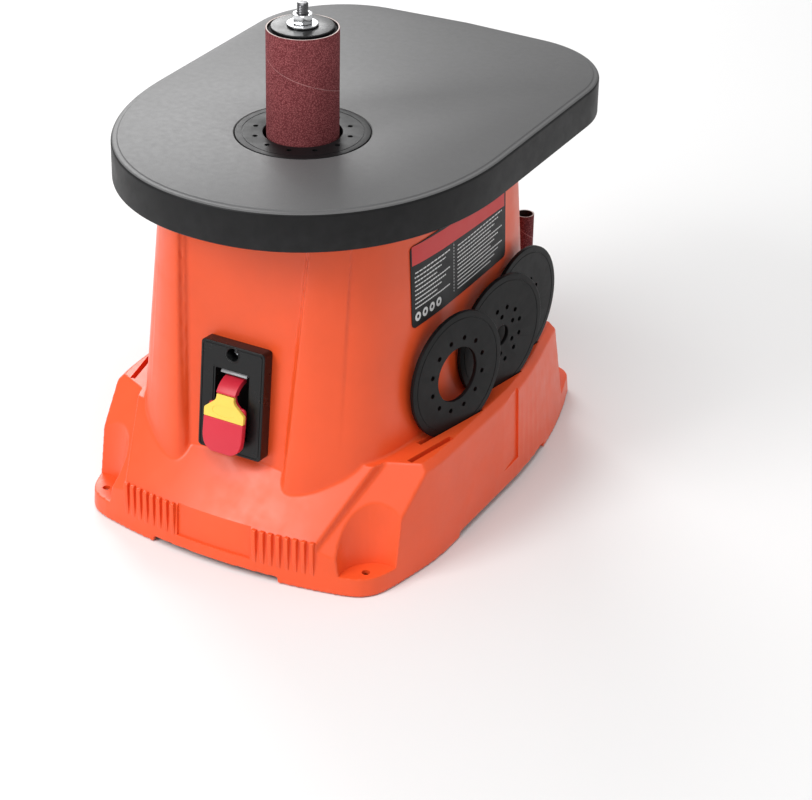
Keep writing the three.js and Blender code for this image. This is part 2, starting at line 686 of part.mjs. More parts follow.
// A slab that hangs from one line to another, its half widths listed from the top down.
function flap(widths, from, to, thickness) {
  const front = polygon(widths.flatMap(([z, half]) => [[half, z]])
    .concat([...widths].reverse().map(([z, half]) => [-half, z])));
  const geometry = new THREE.ExtrudeGeometry(front, { depth: thickness, bevelEnabled: false });
  geometry.rotateX(Math.PI / 2);
  const lean = Math.atan2(to.y - from.y, from.z - to.z);
  return solid(geometry.rotateX(lean).translate(0, from.y, from.z));
}

const FLAP_TOP = { y: -15.4, z: 6.5 };
const FLAP_BOTTOM = { y: -19, z: -36.8 };
const FLAP_LENGTH = Math.hypot(FLAP_TOP.y - FLAP_BOTTOM.y, FLAP_TOP.z - FLAP_BOTTOM.z);

function paddle() {
  const side = [[-2.6, 13], [-3, 15.5], [-6, 16.2], [-10.4, 14.6], [-14.8, 11.8], [-17.9, 7.6],
    [-17.9, 6.9], [-12.6, 6.9], [-11, 9.5], [-6.5, 12]];
  const neck = pulledX(polygon(side), -7.6, 7.6);
  const shape = [[4, 6], [-4, 7], [-8, 10.6], [-11.5, 15], [-34, 15.2], [-40, 13], [-FLAP_LENGTH, 9]];
  const behind = (line, depth) => ({ y: line.y + depth, z: line.z });
  const lower = flap(shape, behind(FLAP_TOP, 3), behind(FLAP_BOTTOM, 3), 2.6);
  const lip = flap([[-18.8, 16], [-34, 15.8], [-40, 13.5], [-FLAP_LENGTH, 9.5]],
    behind(FLAP_TOP, 1.6), behind(FLAP_BOTTOM, 1.6), 4.7);
  return neck.add(lower).add(lip);
}

function safetyKey() {
  const widths = [[-0.4, 7], [-4.5, 7.6], [-8, 11.2], [-11.5, 15.6], [-13.2, 16.2], [-18.4, 16]];
  return flap(widths, FLAP_TOP, FLAP_BOTTOM, 3.1);
}

part('switch_plate', switchPlate(), 'black', switchGroup);
part('switch_body', switchBody(), 'black', switchGroup);
part('switch_paddle', paddle(), 'red', switchGroup);
part('safety_key', safetyKey(), 'yellow', switchGroup);
const screwHeight = SWITCH_PLATE.screwZ;
const switchScrew = rodY(3.6, -4.6, -2.6, { z: screwHeight, sides: 14 })
  .add(rodY(1.8, -3, 9, { z: screwHeight, sides: 10 }))
  .subtract(box(-3, 3, -6, -4, screwHeight - 0.5, screwHeight + 0.5));
part('switch_screw', switchScrew, 'zinc', switchGroup);

// ---------------------------------------------------------------- motor

const caseBottom = MOTOR_PLATE_Z + MOTOR_PLATE_THICKNESS;

function motorPlate() {
  const plate = box(-76, 76, -51, 57, MOTOR_PLATE_Z, caseBottom);
  let holes = rod(16, MOTOR_PLATE_Z - 1, caseBottom + 1, { sides: 18 });
  for (const [x, y] of BOSSES) {
    holes = holes.add(rod(3, MOTOR_PLATE_Z - 1, caseBottom + 1, { x, y: y - SPINDLE_Y, sides: 12 }));
  }
  for (const x of GUIDE_X) {
    holes = holes.add(rod(GUIDE_RADIUS + GAP, MOTOR_PLATE_Z - 1, caseBottom + 1, { x, sides: 14 }));
  }
  return plate.subtract(holes);
}

function bracketPlate(z) {
  return ring(MOTOR_CASE.outer, 16, z, z + 6, 36);
}

function stator() {
  const { outer, inner, bottom, top } = STATOR;
  let core = ring(outer, inner, bottom, top, 36);
  for (let i = 0; i < 8; i += 1) {
    const slot = new THREE.BoxGeometry(12, 4, top - bottom + 2).translate(inner + 8, 0, (bottom + top) / 2);
    core = core.subtract(solid(slot.rotateZ(2 * Math.PI * i / 8)));
  }
  return core;
}

function winding(z0, z1) {
  return turned([[33, z0], [46, z0], [49, z0 + 3], [49, z1 - 3], [46, z1], [33, z1]], 20);
}

function fan() {
  const z0 = 189.5;
  const bore = SHAFT_RADIUS + GAP;
  let wheel = ring(30, bore, z0, z0 + 2, 18).add(ring(14, bore, z0, z0 + 11, 18));
  for (let i = 0; i < 10; i += 1) {
    const blade = new THREE.BoxGeometry(18, 1.4, 9).rotateZ(0.4).translate(21, 0, z0 + 6);
    wheel = wheel.add(solid(blade.rotateZ(2 * Math.PI * i / 10)));
  }
  return wheel;
}

const bearingRadius = 16 - GAP;
part('motor_plate', motorPlate(), 'aluminium', spindleLine);
const motorCase = ring(MOTOR_CASE.outer, MOTOR_CASE.inner, caseBottom + GAP, UPPER_BRACKET_Z - GAP, 36);
part('motor_case', motorCase, 'steel', spindleLine);
part('upper_bracket', bracketPlate(UPPER_BRACKET_Z), 'aluminium', spindleLine);
part('stator', stator(), 'laminations', spindleLine);
part('upper_winding', winding(STATOR.top + GAP, 187), 'copper', spindleLine);
part('lower_winding', winding(113, STATOR.bottom - GAP), 'copper', spindleLine);
const onShaft = SHAFT_RADIUS + GAP;
part('upper_bearing', ring(bearingRadius, onShaft, UPPER_BRACKET_Z - 1, 208.5, 18), 'steel', spindleLine);
part('lower_bearing', ring(bearingRadius, onShaft, 98, 105.5, 18), 'steel', spindleLine);
const rotorCore = ring(ROTOR_RADIUS, onShaft, STATOR.bottom, STATOR.top, 32);
part('rotor_core', rotorCore, 'laminations', spindleLine);
part('rotor_shaft', ring(SHAFT_RADIUS, SHAFT_BORE, SHAFT_BOTTOM, SHAFT_TOP, 18), 'steel', spindleLine);
part('cooling_fan', fan(), 'black', spindleLine);
const capacitor = turned([[0, 0], [15, 0], [17, 2], [17, 58], [15, 60], [0, 60]], 18);
part('capacitor', capacitor, 'aluminium').position.set(0, 42, LEDGE_Z + 14);

// ---------------------------------------------------------------- oscillation drive

const threadPitch = Math.PI * GEAR_MODULE;

// A single-start worm: the radius rises and falls along a helix of one tooth pitch.
function worm() {
  const length = 8 * threadPitch;
  const geometry = new THREE.CylinderGeometry(WORM_RADIUS, WORM_RADIUS, length, 12, 8 * 4);
  geometry.rotateX(Math.PI / 2);
  const crest = GEAR_MODULE * 0.82;
  reshaped(geometry, (point) => {
    const flat = Math.hypot(point.x, point.y);
    if (flat < 1e-6) return;
    const phase = point.z - threadPitch * Math.atan2(point.y, point.x) / (2 * Math.PI);
    const atEnd = Math.abs(point.z) > length / 2 - 1e-3;
    const wave = Math.cos(2 * Math.PI * phase / threadPitch);
    const radius = atEnd ? WORM_RADIUS - crest : WORM_RADIUS + crest * wave;
    point.x *= radius / flat;
    point.y *= radius / flat;
  });
  return solid(geometry.translate(0, 0, GEAR_Z)).subtract(rod(SHAFT_RADIUS + GAP, 40, 110, { sides: 18 }));
}

// The worm wheel's outline: teeth rise and fall evenly, a little slack against the worm.
function wheelOutline() {
  const points = [];
  const perTooth = 4;
  for (let i = 0; i < WHEEL_TEETH * perTooth; i += 1) {
    const angle = 2 * Math.PI * i / (WHEEL_TEETH * perTooth);
    const radius = WHEEL_RADIUS - 0.55 - GEAR_MODULE * 0.72 * Math.cos(WHEEL_TEETH * angle);
    points.push([-radius * Math.cos(angle), radius * Math.sin(angle)]);
  }
  return polygon(points.reverse());
}

function wormWheel() {
  const teeth = pulled(wheelOutline(), -WHEEL_THICKNESS / 2, WHEEL_THICKNESS / 2).rotateX(Math.PI / 2);
  const wheel = solid(teeth).add(rodY(9, -6, 4, { sides: 18 }));
  return wheel.subtract(rodY(WHEEL_AXLE_RADIUS + GAP, -10, 10, { sides: 18 }))
    .subtract(rodY(2 + GAP, -10, 10, { x: CRANK_RADIUS + 2.6, sides: 12 }));
}

const wheelGroup = new THREE.Group();
wheelGroup.position.set(WHEEL_X, 0, GEAR_Z);
spindleLine.add(wheelGroup);

// The pin that drives the yoke.
function crankPin() {
  const x = CRANK_RADIUS + 2.6;
  const stem = rodY(2, -3, 5, { x, sides: 12 });
  return stem.add(rodY(CRANK_PIN_RADIUS, 4 + GAP, YOKE_NEAR_Y - 0.5, { x, sides: 14 }));
}

function gearBracket() {
  const plate = box(WHEEL_X - 14, WHEEL_X + 14, -12, -7, GEAR_Z - 12, MOTOR_PLATE_Z - GAP);
  const foot = box(WHEEL_X - 14, WHEEL_X + 14, -22, -7, MOTOR_PLATE_Z - 4, MOTOR_PLATE_Z - GAP);
  const bore = rodY(WHEEL_AXLE_RADIUS + GAP, -30, 0, { x: WHEEL_X, z: GEAR_Z, sides: 18 });
  return plate.add(foot).subtract(bore);
}

// The carrier holds the spindle's lower bearing, slides on two posts and has the crank's yoke.
function carrier() {
  const z1 = CARRIER_Z + CARRIER_THICKNESS;
  const base = box(GUIDE_X[0] - 8, GUIDE_X[1] + 8, -19, 19, CARRIER_Z, z1);
  const left = WHEEL_X - CRANK_RADIUS - 10;
  const right = WHEEL_X + CRANK_RADIUS + 10;
  const yoke = box(left, right, YOKE_NEAR_Y, YOKE_FAR_Y, z1 - 1, GEAR_Z + 8);
  let body = base.add(yoke);
  for (const x of GUIDE_X) body = body.add(rod(8, CARRIER_Z, z1 + 6, { x, sides: 14 }));
  const half = CRANK_PIN_RADIUS + 0.6;
  const slot = box(left + 4, right - 4, YOKE_NEAR_Y - 1, YOKE_FAR_Y + 1, GEAR_Z - half, GEAR_Z + half);
  body = body.subtract(slot);
  for (const x of GUIDE_X) body = body.subtract(rod(GUIDE_RADIUS + GAP, 0, 100, { x, sides: 14 }));
  return body.subtract(rod(15, 0, 100, { sides: 18 }));
}

part('worm', worm(), 'steel', spindleLine);
part('worm_wheel', wormWheel(), 'bronze', wheelGroup);
part('crank_pin', crankPin(), 'steel', wheelGroup);
const axle = rodY(WHEEL_AXLE_RADIUS, -16, 6, { sides: 18 }).add(rodY(7, -16, -12.4, { sides: 18 }));
part('wheel_axle', axle, 'steel', wheelGroup);
part('gear_bracket', gearBracket(), 'aluminium', spindleLine);
part('lift_carrier', carrier(), 'aluminium', spindleLine);
const carrierBearing = ring(15 - GAP, SPINDLE_RADIUS + GAP, CARRIER_Z - 1, CARRIER_Z + 8, 18);
part('carrier_bearing', carrierBearing, 'steel', spindleLine);
GUIDE_X.forEach((x, i) => {
  const post = rod(GUIDE_RADIUS, 9, caseBottom, { x, sides: 14 });
  part(`guide_post_${i + 1}`, post, 'steel', spindleLine);
});

// ---------------------------------------------------------------- spindle and drum

function spindle() {
  const seat = SLEEVE_BOTTOM - 3.6;
  const body = rod(SPINDLE_RADIUS, SPINDLE_BOTTOM, SLEEVE_TOP - 1, { sides: 18 });
  const collar = rod(11, seat - 4, seat, { sides: 18 });
  const foot = rod(8.5, SPINDLE_BOTTOM - 3, CARRIER_Z - 1 - GAP, { sides: 18 });
  return body.add(collar).add(foot).add(rod(STUD_RADIUS, SLEEVE_TOP - 2, STUD_TOP, { sides: 14 }));
}

const bore = SPINDLE_RADIUS + GAP;
const studBore = STUD_RADIUS + GAP;
part('spindle', spindle(), 'steel', spindleLine);
part('lower_washer', ring(22, bore, SLEEVE_BOTTOM - 3.3, SLEEVE_BOTTOM - 0.3, 18), 'zinc', spindleLine);
const drumRadius = SLEEVE_RADIUS - SLEEVE_THICKNESS - GAP;
part('rubber_drum', ring(drumRadius, bore, SLEEVE_BOTTOM, SLEEVE_TOP - 1.5, 36), 'rubber', spindleLine);
const sleeve = ring(SLEEVE_RADIUS, SLEEVE_RADIUS - SLEEVE_THICKNESS, SLEEVE_BOTTOM, SLEEVE_TOP, 36);
part('sanding_sleeve', sleeve, 'abrasive', spindleLine);
part('drum_washer', ring(22, studBore, SLEEVE_TOP - 0.9, SLEEVE_TOP + 1.4, 32), 'black', spindleLine);
part('small_washer', ring(10.9, studBore, SLEEVE_TOP + 1.7, SLEEVE_TOP + 3.2, 18), 'zinc', spindleLine);
const nut = rod(7.5, SLEEVE_TOP + 3.5, SLEEVE_TOP + 10, { sides: 6 })
  .subtract(rod(studBore, SLEEVE_TOP, SLEEVE_TOP + 12, { sides: 14 }));
part('spindle_nut', nut, 'zinc', spindleLine);

// ---------------------------------------------------------------- dust shroud and port, cord gland, label

function dustShroud() {
  const { bottom, top, outer, inner } = SHROUD;
  const cup = turned([[12, bottom], [outer, bottom], [outer, top], [inner, top], [inner, bottom + 3],
    [12, bottom + 3]], 36);
  const spout = rodY(DUCT_RADIUS, 30, 62, { z: DUCT_Z, sides: 18 })
    .subtract(rod(outer - 1, 0, 300, { sides: 36 }));
  return cup.add(spout).subtract(rodY(DUCT_RADIUS - 2, 20, 80, { z: DUCT_Z, sides: 18 }));
}

function dustPort() {
  const start = 62 + SPINDLE_Y + GAP;
  return rodY(DUCT_RADIUS, start, PORT_END_Y, { z: DUCT_Z, sides: 18 })
    .add(rodY(DUCT_RADIUS + 2, PORT_END_Y - 4, PORT_END_Y, { z: DUCT_Z, sides: 18 }))
    .subtract(rodY(DUCT_RADIUS - 2, start - 1, PORT_END_Y + 1, { z: DUCT_Z, sides: 18 }));
}

part('dust_shroud', dustShroud(), 'black', spindleLine);
part('dust_port', dustPort(), 'black');
const gland = rodY(7.6, 165, 190, { sides: 14 })
  .add(rodY(11, 183.6, 188, { sides: 18 }))
  .subtract(rodY(3.6, 160, 200, { sides: 14 }));
part('cord_gland', gland, 'rubber').position.set(-60, 0, 24);

// A thin plate that follows the column's right side.
const labelPlate = columnForm(-0.7, 150, 250).subtract(columnForm(-GAP, 140, 260))
  .intersect(box(50, 150, -80, 56, 169, 231));
part('rating_label', labelPlate, 'label');

export default sander;
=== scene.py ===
import json
import math

import bmesh
import bpy
from mathutils import Matrix, Vector


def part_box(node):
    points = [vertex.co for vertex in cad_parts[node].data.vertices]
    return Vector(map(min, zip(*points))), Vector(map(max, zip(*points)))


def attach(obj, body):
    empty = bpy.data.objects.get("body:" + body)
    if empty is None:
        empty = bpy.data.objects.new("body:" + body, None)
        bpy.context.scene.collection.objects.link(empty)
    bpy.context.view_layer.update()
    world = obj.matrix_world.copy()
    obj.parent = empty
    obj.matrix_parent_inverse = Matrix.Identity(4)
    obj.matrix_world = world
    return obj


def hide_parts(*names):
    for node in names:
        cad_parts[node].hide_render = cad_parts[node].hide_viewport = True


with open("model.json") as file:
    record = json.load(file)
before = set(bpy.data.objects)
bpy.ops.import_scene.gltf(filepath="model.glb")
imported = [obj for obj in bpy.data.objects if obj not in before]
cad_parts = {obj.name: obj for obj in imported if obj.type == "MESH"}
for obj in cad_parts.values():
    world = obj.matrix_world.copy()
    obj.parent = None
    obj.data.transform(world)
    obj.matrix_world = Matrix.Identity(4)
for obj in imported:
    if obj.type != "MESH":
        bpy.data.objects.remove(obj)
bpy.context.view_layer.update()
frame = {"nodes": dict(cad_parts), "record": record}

MM = 0.001
RECORD = frame["record"]

# ---------------------------------------------------------------- dimensions, in millimetres where not said

GAP = 0.3
WALL = 3
TABLE_Z = 287
TABLE_HALF_WIDTH = 139.5
TABLE_HALF_DEPTH = 190.1
TABLE_FRONT_START = -25.3
TABLE_FRONT_POWER = 2.13
TABLE_REAR_RADIUS = 76
TABLE_REAR_BULGE = 3.1
TABLE_SKIRT = 28.7
TABLE_SKIRT_WALL = 6
TABLE_PLATE = 9
SPINDLE_Y = -57.3
SLEEVE_RADIUS = 25.4
SLEEVE_TOP = 363.8
SLEEVE_LENGTH = 114.3
SLEEVE_BOTTOM = SLEEVE_TOP - SLEEVE_LENGTH
STUD_TOP = 381.5
INSERT_RADIUS = 47.4
BASE_FRONT_ARC = 400
BASE_FRONT_Y = -183.5
BASE_REAR_Y = 183
BASE_HALF_WIDTH = 135
BASE_SIDE_ARC = 438
BASE_SIDE_ARC_Y = 20
LEDGE_Z = 82
DECK_EDGE_Z = 37.6
DECK_SLOPE = 1.09
DECK_EDGE_RADIUS = BASE_FRONT_ARC - 2.2
DECK_CENTRE_Y = BASE_FRONT_Y + BASE_FRONT_ARC
COLUMN_TOP = 277.7
SWITCH_Z = 119
SWITCH_Y = -144.4
SWITCH_LEAN = 5.45
PEG_SHELF_Z = 46
SCREW_Z = 34.5
PEG_X = 79
PEG_Y = 140
PEG_TOP = 110.3
PORT_Z = 238
GLAND_X = -60
GLAND_Z = 24
MOTOR_PLATE_Z = 99.7
TABLE_BOLTS = [(-76, -92), (76, -92), (-70, 62), (70, 62)]
MOTOR_BOSSES = [(-66, -100), (66, -100), (-66, -10), (66, -10)]
BENCH_HOLES = [(109.5, -155.5), (101.5, 155.5)]
SLOT_WIDTH = 4.2
RIB_COUNT, RIB_FIRST, RIB_PITCH, RIB_HALF_WIDTH = 8, 34, 6.2, 1.6
SOFT_VOXEL = 1.05
SOFT_STEPS = 3
WELD_DISTANCE = 1e-6  # metres
FINGER_RECESS = [(135.2, 3), (150, 3), (150, 31), (133.3, 31)]

# ---------------------------------------------------------------- mesh helpers


def new_object(name, verts, faces):
    mesh = bpy.data.meshes.new(name)
    mesh.from_pydata([(x * MM, y * MM, z * MM) for x, y, z in verts], [], faces)
    bm = bmesh.new()
    bm.from_mesh(mesh)
    bmesh.ops.recalc_face_normals(bm, faces=bm.faces)
    bm.to_mesh(mesh)
    bm.free()
    obj = bpy.data.objects.new(name, mesh)
    bpy.context.scene.collection.objects.link(obj)
    return obj


def stack(rings):
    """A closed solid through rings of equally many points, capped at both ends."""
    count = len(rings[0])
    verts = [p for ring in rings for p in ring]
    faces = [tuple(range(count))[::-1]]
    for k in range(len(rings) - 1):
        a, b = k * count, (k + 1) * count
        for i in range(count):
            j = (i + 1) % count
            faces.append((a + i, a + j, b + j, b + i))
    last = (len(rings) - 1) * count
    faces.append(tuple(last + i for i in range(count)))
    return new_object("stack", verts, faces)


def prism(outline, z0, z1, move=None, levels=2):
    move = move or (lambda p: p)
    rings = []
    for k in range(levels):
        z = z0 + (z1 - z0) * k / (levels - 1)
        rings.append([move((x, y, z)) for x, y in outline])
    return stack(rings)


def box(x0, x1, y0, y1, z0, z1):
    return prism([(x0, y0), (x1, y0), (x1, y1), (x0, y1)], z0, z1)


def circle(radius, sides, x=0, y=0):
    return [(x + radius * math.cos(2 * math.pi * i / sides), y + radius * math.sin(2 * math.pi * i / sides))
            for i in range(sides)]


def rod(radius, z0, z1, x=0, y=0, top=None, sides=64):
    top = radius if top is None else top
    low = [(px, py, z0) for px, py in circle(radius, sides, x, y)]
    high = [(px, py, z1) for px, py in circle(top, sides, x, y)]
    return stack([low, high])


def rod_y(radius, y0, y1, x=0, z=0, sides=48):
    points = circle(radius, sides)
    return stack([[(x + a, y0, z - b) for a, b in points], [(x + a, y1, z - b) for a, b in points]])


def lathe(profile, sides=96, x=0, y=0):
    """A solid of revolution from (radius, z) points. A profile clear of the axis closes on itself."""
    verts, faces = [], []
    hollow = min(r for r, _ in profile) > 1e-6
    for r, z in profile:
        for i in range(sides):
            a = 2 * math.pi * i / sides
            verts.append((x + r * math.cos(a), y + r * math.sin(a), z))
    steps = len(profile) if hollow else len(profile) - 1
    for k in range(steps):
        a, b = k * sides, (k + 1) % len(profile) * sides
        for i in range(sides):
            j = (i + 1) % sides
            faces.append((a + i, a + j, b + j, b + i))
    obj = new_object("lathe", verts, faces)
    weld(obj)
    return obj


def weld(obj):
    bm = bmesh.new()
    bm.from_mesh(obj.data)
    bmesh.ops.remove_doubles(bm, verts=bm.verts, dist=WELD_DISTANCE)
    bmesh.ops.dissolve_degenerate(bm, edges=bm.edges, dist=WELD_DISTANCE)
    bmesh.ops.recalc_face_normals(bm, faces=bm.faces)
    bm.to_mesh(obj.data)
    bm.free()


def rounded(profile, radius, steps=4):
    """Rounds the corners of an (r, z) polygon. Each corner's cut is limited to 45% of its shorter side."""
    result = []
    count = len(profile)
    for i, (x, y) in enumerate(profile):
        before, after = Vector(profile[i - 1]), Vector(profile[(i + 1) % count])
        here = Vector((x, y))
        size = radius[i] if isinstance(radius, (list, tuple)) else radius
        size = min(size, 0.45 * (before - here).length, 0.45 * (after - here).length)
        if size < 1e-3:
            result.append((x, y))
            continue
        start = here + (before - here).normalized() * size
        end = here + (after - here).normalized() * size
        for k in range(steps + 1):
            t = k / steps
            p = start * (1 - t) ** 2 + here * 2 * t * (1 - t) + end * t ** 2
            result.append((p.x, p.y))
    return result


def drop(obj):
    mesh = obj.data
    bpy.data.objects.remove(obj)
    bpy.data.meshes.remove(mesh)


def apply_modifiers(obj):
    depsgraph = bpy.context.evaluated_depsgraph_get()
    mesh = bpy.data.meshes.new_from_object(obj.evaluated_get(depsgraph))
    old = obj.data
    obj.modifiers.clear()
    obj.data = mesh
    bpy.data.meshes.remove(old)
    return obj


def combine(obj, other, operation):
    modifier = obj.modifiers.new("combine", "BOOLEAN")
    modifier.operation = operation
    modifier.solver = "MANIFOLD"
    modifier.object = other
    bpy.context.view_layer.update()
    apply_modifiers(obj)
    drop(other)
    return obj


def cut(obj, *others):
    for other in others:
        combine(obj, other, "DIFFERENCE")
    return obj


def add(obj, *others):
    for other in others:
        combine(obj, other, "UNION")
    return obj


def keep_inside(obj, other):
    return combine(obj, other, "INTERSECT")


def copy_of(obj):
    twin = bpy.data.objects.new(obj.name, obj.data.copy())
    bpy.context.scene.collection.objects.link(twin)
    return twin


def mirrored(obj):
    twin = copy_of(obj)
    twin.data.transform(Matrix.Scale(-1, 4, (1, 0, 0)))
    twin.data.flip_normals()
    return twin


def both_sides(obj):
    return add(obj, mirrored(obj))


def placed(obj, matrix):
    obj.data.transform(matrix)
    return obj


def moved(x=0, y=0, z=0):
    return Matrix.Translation((x * MM, y * MM, z * MM))


def soften(obj, voxel):
    """Rebuilds the surface on a fine grid and relaxes it, which rounds every edge a little."""
    remesh = obj.modifiers.new("remesh", "REMESH")
    remesh.mode = "VOXEL"
    remesh.voxel_size = voxel * MM
    remesh.use_smooth_shade = True
    relax = obj.modifiers.new("relax", "SMOOTH")
    relax.factor = 0.5
    relax.iterations = SOFT_STEPS
    return apply_modifiers(obj)


def bevel(obj, width, segments=3, angle=30):
    modifier = obj.modifiers.new("bevel", "BEVEL")
    modifier.width = width * MM
    modifier.segments = segments
    modifier.limit_method = "ANGLE"
    modifier.angle_limit = math.radians(angle)
    modifier.use_clamp_overlap = True
    return apply_modifiers(obj)


def smooth_shade(obj, angle=38):
    mesh = obj.data
    mesh.polygons.foreach_set("use_smooth", [True] * len(mesh.polygons))
    mesh.set_sharp_from_angle(angle=math.radians(angle))
    return obj


def symmetric(right):
    return list(right) + [(-x, y) for x, y in reversed(right) if x > 1e-6]


def arc(cx, cy, radius, start, end, steps):
    return [(cx + radius * math.cos(math.radians(start + (end - start) * i / steps)),
             cy + radius * math.sin(math.radians(start + (end - start) * i / steps)))
            for i in range(steps + 1)]


def spline(points, count):
    """A uniform Catmull-Rom curve through the points."""
    result = []
    last = len(points) - 1
    for k in range(count + 1):
        place = last * k / count
        i = min(int(place), last - 1)
        t = place - i
        quad = [points[max(i - 1, 0)], points[i], points[i + 1], points[min(i + 2, last)]]
        value = []
        for axis in range(2):
            p0, p1, p2, p3 = (q[axis] for q in quad)
            v0, v1 = (p2 - p0) / 2, (p3 - p1) / 2
            value.append((2 * p1 - 2 * p2 + v0 + v1) * t ** 3
                         + (-3 * p1 + 3 * p2 - 2 * v0 - v1) * t ** 2 + v0 * t + p1)
        result.append(tuple(value))
    return result


def mix(a, b, t):
    return a + (b - a) * t


def share(value, start, end):
    return min(1, max(0, (value - start) / (end - start)))


# ---------------------------------------------------------------- housing


def base_outline(inset):
    front_y = BASE_FRONT_Y + inset
    side = BASE_HALF_WIDTH - inset
    front = [(x, front_y + x * x / (2 * BASE_FRONT_ARC)) for x in [10 * i for i in range(10)] + [100 - inset]]
    corner = spline([(100 - inset, front[-1][1]), (113 - inset, -165 + inset),
                     (122 - inset, -152 + inset / 2), (129.5 - inset, -122),
                     (side - 1, -95), (side, -65)], 30)[1:]

    def side_x(y):
        return side - max(0, y - BASE_SIDE_ARC_Y) ** 2 / (2 * BASE_SIDE_ARC)

    sides = [(side_x(y), y) for y in range(BASE_SIDE_ARC_Y, 151, 10)]
    rear_x = side_x(160) - 6
    rear = arc(rear_x - 16, BASE_REAR_Y - inset - 20, 20, 10, 90, 12)
    return symmetric(front + corner + sides + rear)


def base_draft(p):
    x, y, z = p
    rise = max(0, z)
    draft = mix(2, 7.5, share(y, BASE_SIDE_ARC_Y, 105))
    return x * (1 - draft * rise / 77 / BASE_HALF_WIDTH), y * (1 - 0.00032 * rise), z


def base_block(inset, bottom, top):
    chamfer = 5
    levels = [(inset, bottom), (inset, top - chamfer), (inset + chamfer, top)]
    return stack([[base_draft((x, y, z)) for x, y in base_outline(i)] for i, z in levels])


def tongue_prism(inset):
    right = [(80 - inset, -210), (80 - inset, -173), (98.4 - inset, -127), (102.5 - inset, -116.6),
             (102.5 - inset, 60)]
    return prism(symmetric(right), -20, 130)


def under_deck(inset):
    edge = DECK_EDGE_Z - inset
    radius = DECK_EDGE_RADIUS
    profile = [(150, -30), (radius + 40, -30), (radius + 40, edge - 40 * DECK_SLOPE),
               (radius - 120 / DECK_SLOPE, edge + 120), (150, edge + 120)]
    rings = []
    for i in range(81):
        a = math.radians(-90 - 30 + 60 * i / 80)
        rings.append([(r * math.cos(a), DECK_CENTRE_Y + r * math.sin(a), z) for r, z in profile])
    return stack(rings)


def ramp_cut(inset):
    cutter = box(-200, 200, -200, 200, 0, 200)
    turn = Matrix.Rotation(math.atan2(12.2, 26.1), 4, "Z") @ Matrix.Rotation(math.atan(1.176), 4, "X")
    placed(cutter, moved(101.5, -116.6, LEDGE_Z - inset) @ turn)
    return both_sides(keep_inside(cutter, box(0, 300, -400, -40, -40, 210)))


def corner_pockets(inset):
    x, y, radius, draft = 120, 164.3, 24.6, 0.165
    floor = 15 - inset
    grow = radius + inset
    pockets = []
    for side in (-1, 1):
        for end, px, py in ((-1, x, y), (1, x - 8, y + 2)):
            top = grow + draft * (100 - floor)
            pockets.append(rod(grow, floor, 100, side * px, end * py, top, 72))
    return pockets


def rail_ends(inset):
    return both_sides(box(96 + inset, 200, 100, 150 - inset, 0, 121))


def base_form(inset):
    top = LEDGE_Z - inset
    body = base_block(inset, -10 if inset else 1, top)
    tongue = keep_inside(copy_of(body), tongue_prism(inset))
    keep_inside(tongue, add(under_deck(inset), box(-119, 119, -119, 190, -29, 118)))
    cut(body, ramp_cut(inset), tongue_prism(inset + 0.1 if inset else 0))
    add(body, tongue)
    shelf = cut(box(-200, 200, 108, 200, PEG_SHELF_Z - inset, 120), rail_ends(inset))
    return cut(body, shelf, *corner_pockets(inset))


def column_outline(inset):
    lobe = spline([(39.6, -147.6), (42.5, -153), (47.5, -155.4), (58, -152.6), (72, -145.2), (87, -133),
                   (97.5, -115), (104, -86), (106.6, -45)], 64)
    side = [(107, 0), (106.5, 57)]
    rear = spline([(106.5, 57), (104.5, 82), (98, 106), (83, 124), (55, 132), (0, 134)], 40)[1:]
    wide, deep = (107 - inset) / 107, (145 - inset) / 145
    panel = [(39.6 * i / 4, -147.6) for i in range(4)]
    right = [(x * wide, (y + 11) * deep - 11) for x, y in panel + lobe + side + rear]
    return symmetric(right)


def column_draft(p):
    x, y, z = p
    rise = (z - LEDGE_Z) / 176
    size = abs(x)
    on_panel = size < 41 and y < -100
    top = size * 101 / 107
    if y < -140:
        top = size * 49.4 / 39.6 if on_panel else mix(53, 84, share(size, 47.5, 87))
    front = (16.8 if on_panel else 20.4) * share(y, -15, -105)
    rear = -22 * share(y, 57, 125)
    return math.copysign(mix(size, top, rise), x), y + (front + rear) * rise, z


def column_form(inset, bottom, top):
    return prism(column_outline(inset), bottom, top, column_draft, levels=12)


SLOTS = [(121.1, -85.5, 12.2, 45.5), (117.7, -50, 12.9, 68), (118.3, 23.2, 11, 53), (111.4, 70.9, 4.5, 53)]


def slot_cutters(width, extra, z0, z1):
    cutters = []
    for x, y, turn, length in SLOTS:
        half_w, half_l = width / 2, (length + extra) / 2
        cutter = box(-half_w, half_w, -half_l, half_l, z0, z1)
        placed(cutter, moved(x, y, 0) @ Matrix.Rotation(-math.radians(turn), 4, "Z"))
        cutters += [cutter, mirrored(cutter)]
    return cutters


def front_ribs():
    """Upright grip ribs, proud at the deck's edge and fading out lower down."""
    ribs = []
    for i in range(RIB_COUNT):
        x = RIB_FIRST + i * RIB_PITCH
        face = BASE_FRONT_Y + x * x / (2 * BASE_FRONT_ARC)
        side = [(face + 6, 11), (face + 1.2, 11.2), (face + 0.4, 14), (face - 0.5, 24), (face - 0.75, 38.2),
                (face - 0.2, 39.3), (face + 1.6, 39.7), (face + 9, 36)]
        rib = stack([[(x + h, y, z) for y, z in side] for h in (-RIB_HALF_WIDTH, RIB_HALF_WIDTH)])
        bevel(rib, 0.45, 3)
        ribs += [rib, mirrored(rib)]
    return ribs


def front_panel():
    """The shallow panel between the two groups of ribs, with its floor parallel to the front."""
    behind = stack([[base_draft((x, y, z)) for x, y in base_outline(0.9)] for z in (-20, 120)])
    return cut(box(-30.5, 30.5, -200, -150, 14.1, 60), behind)


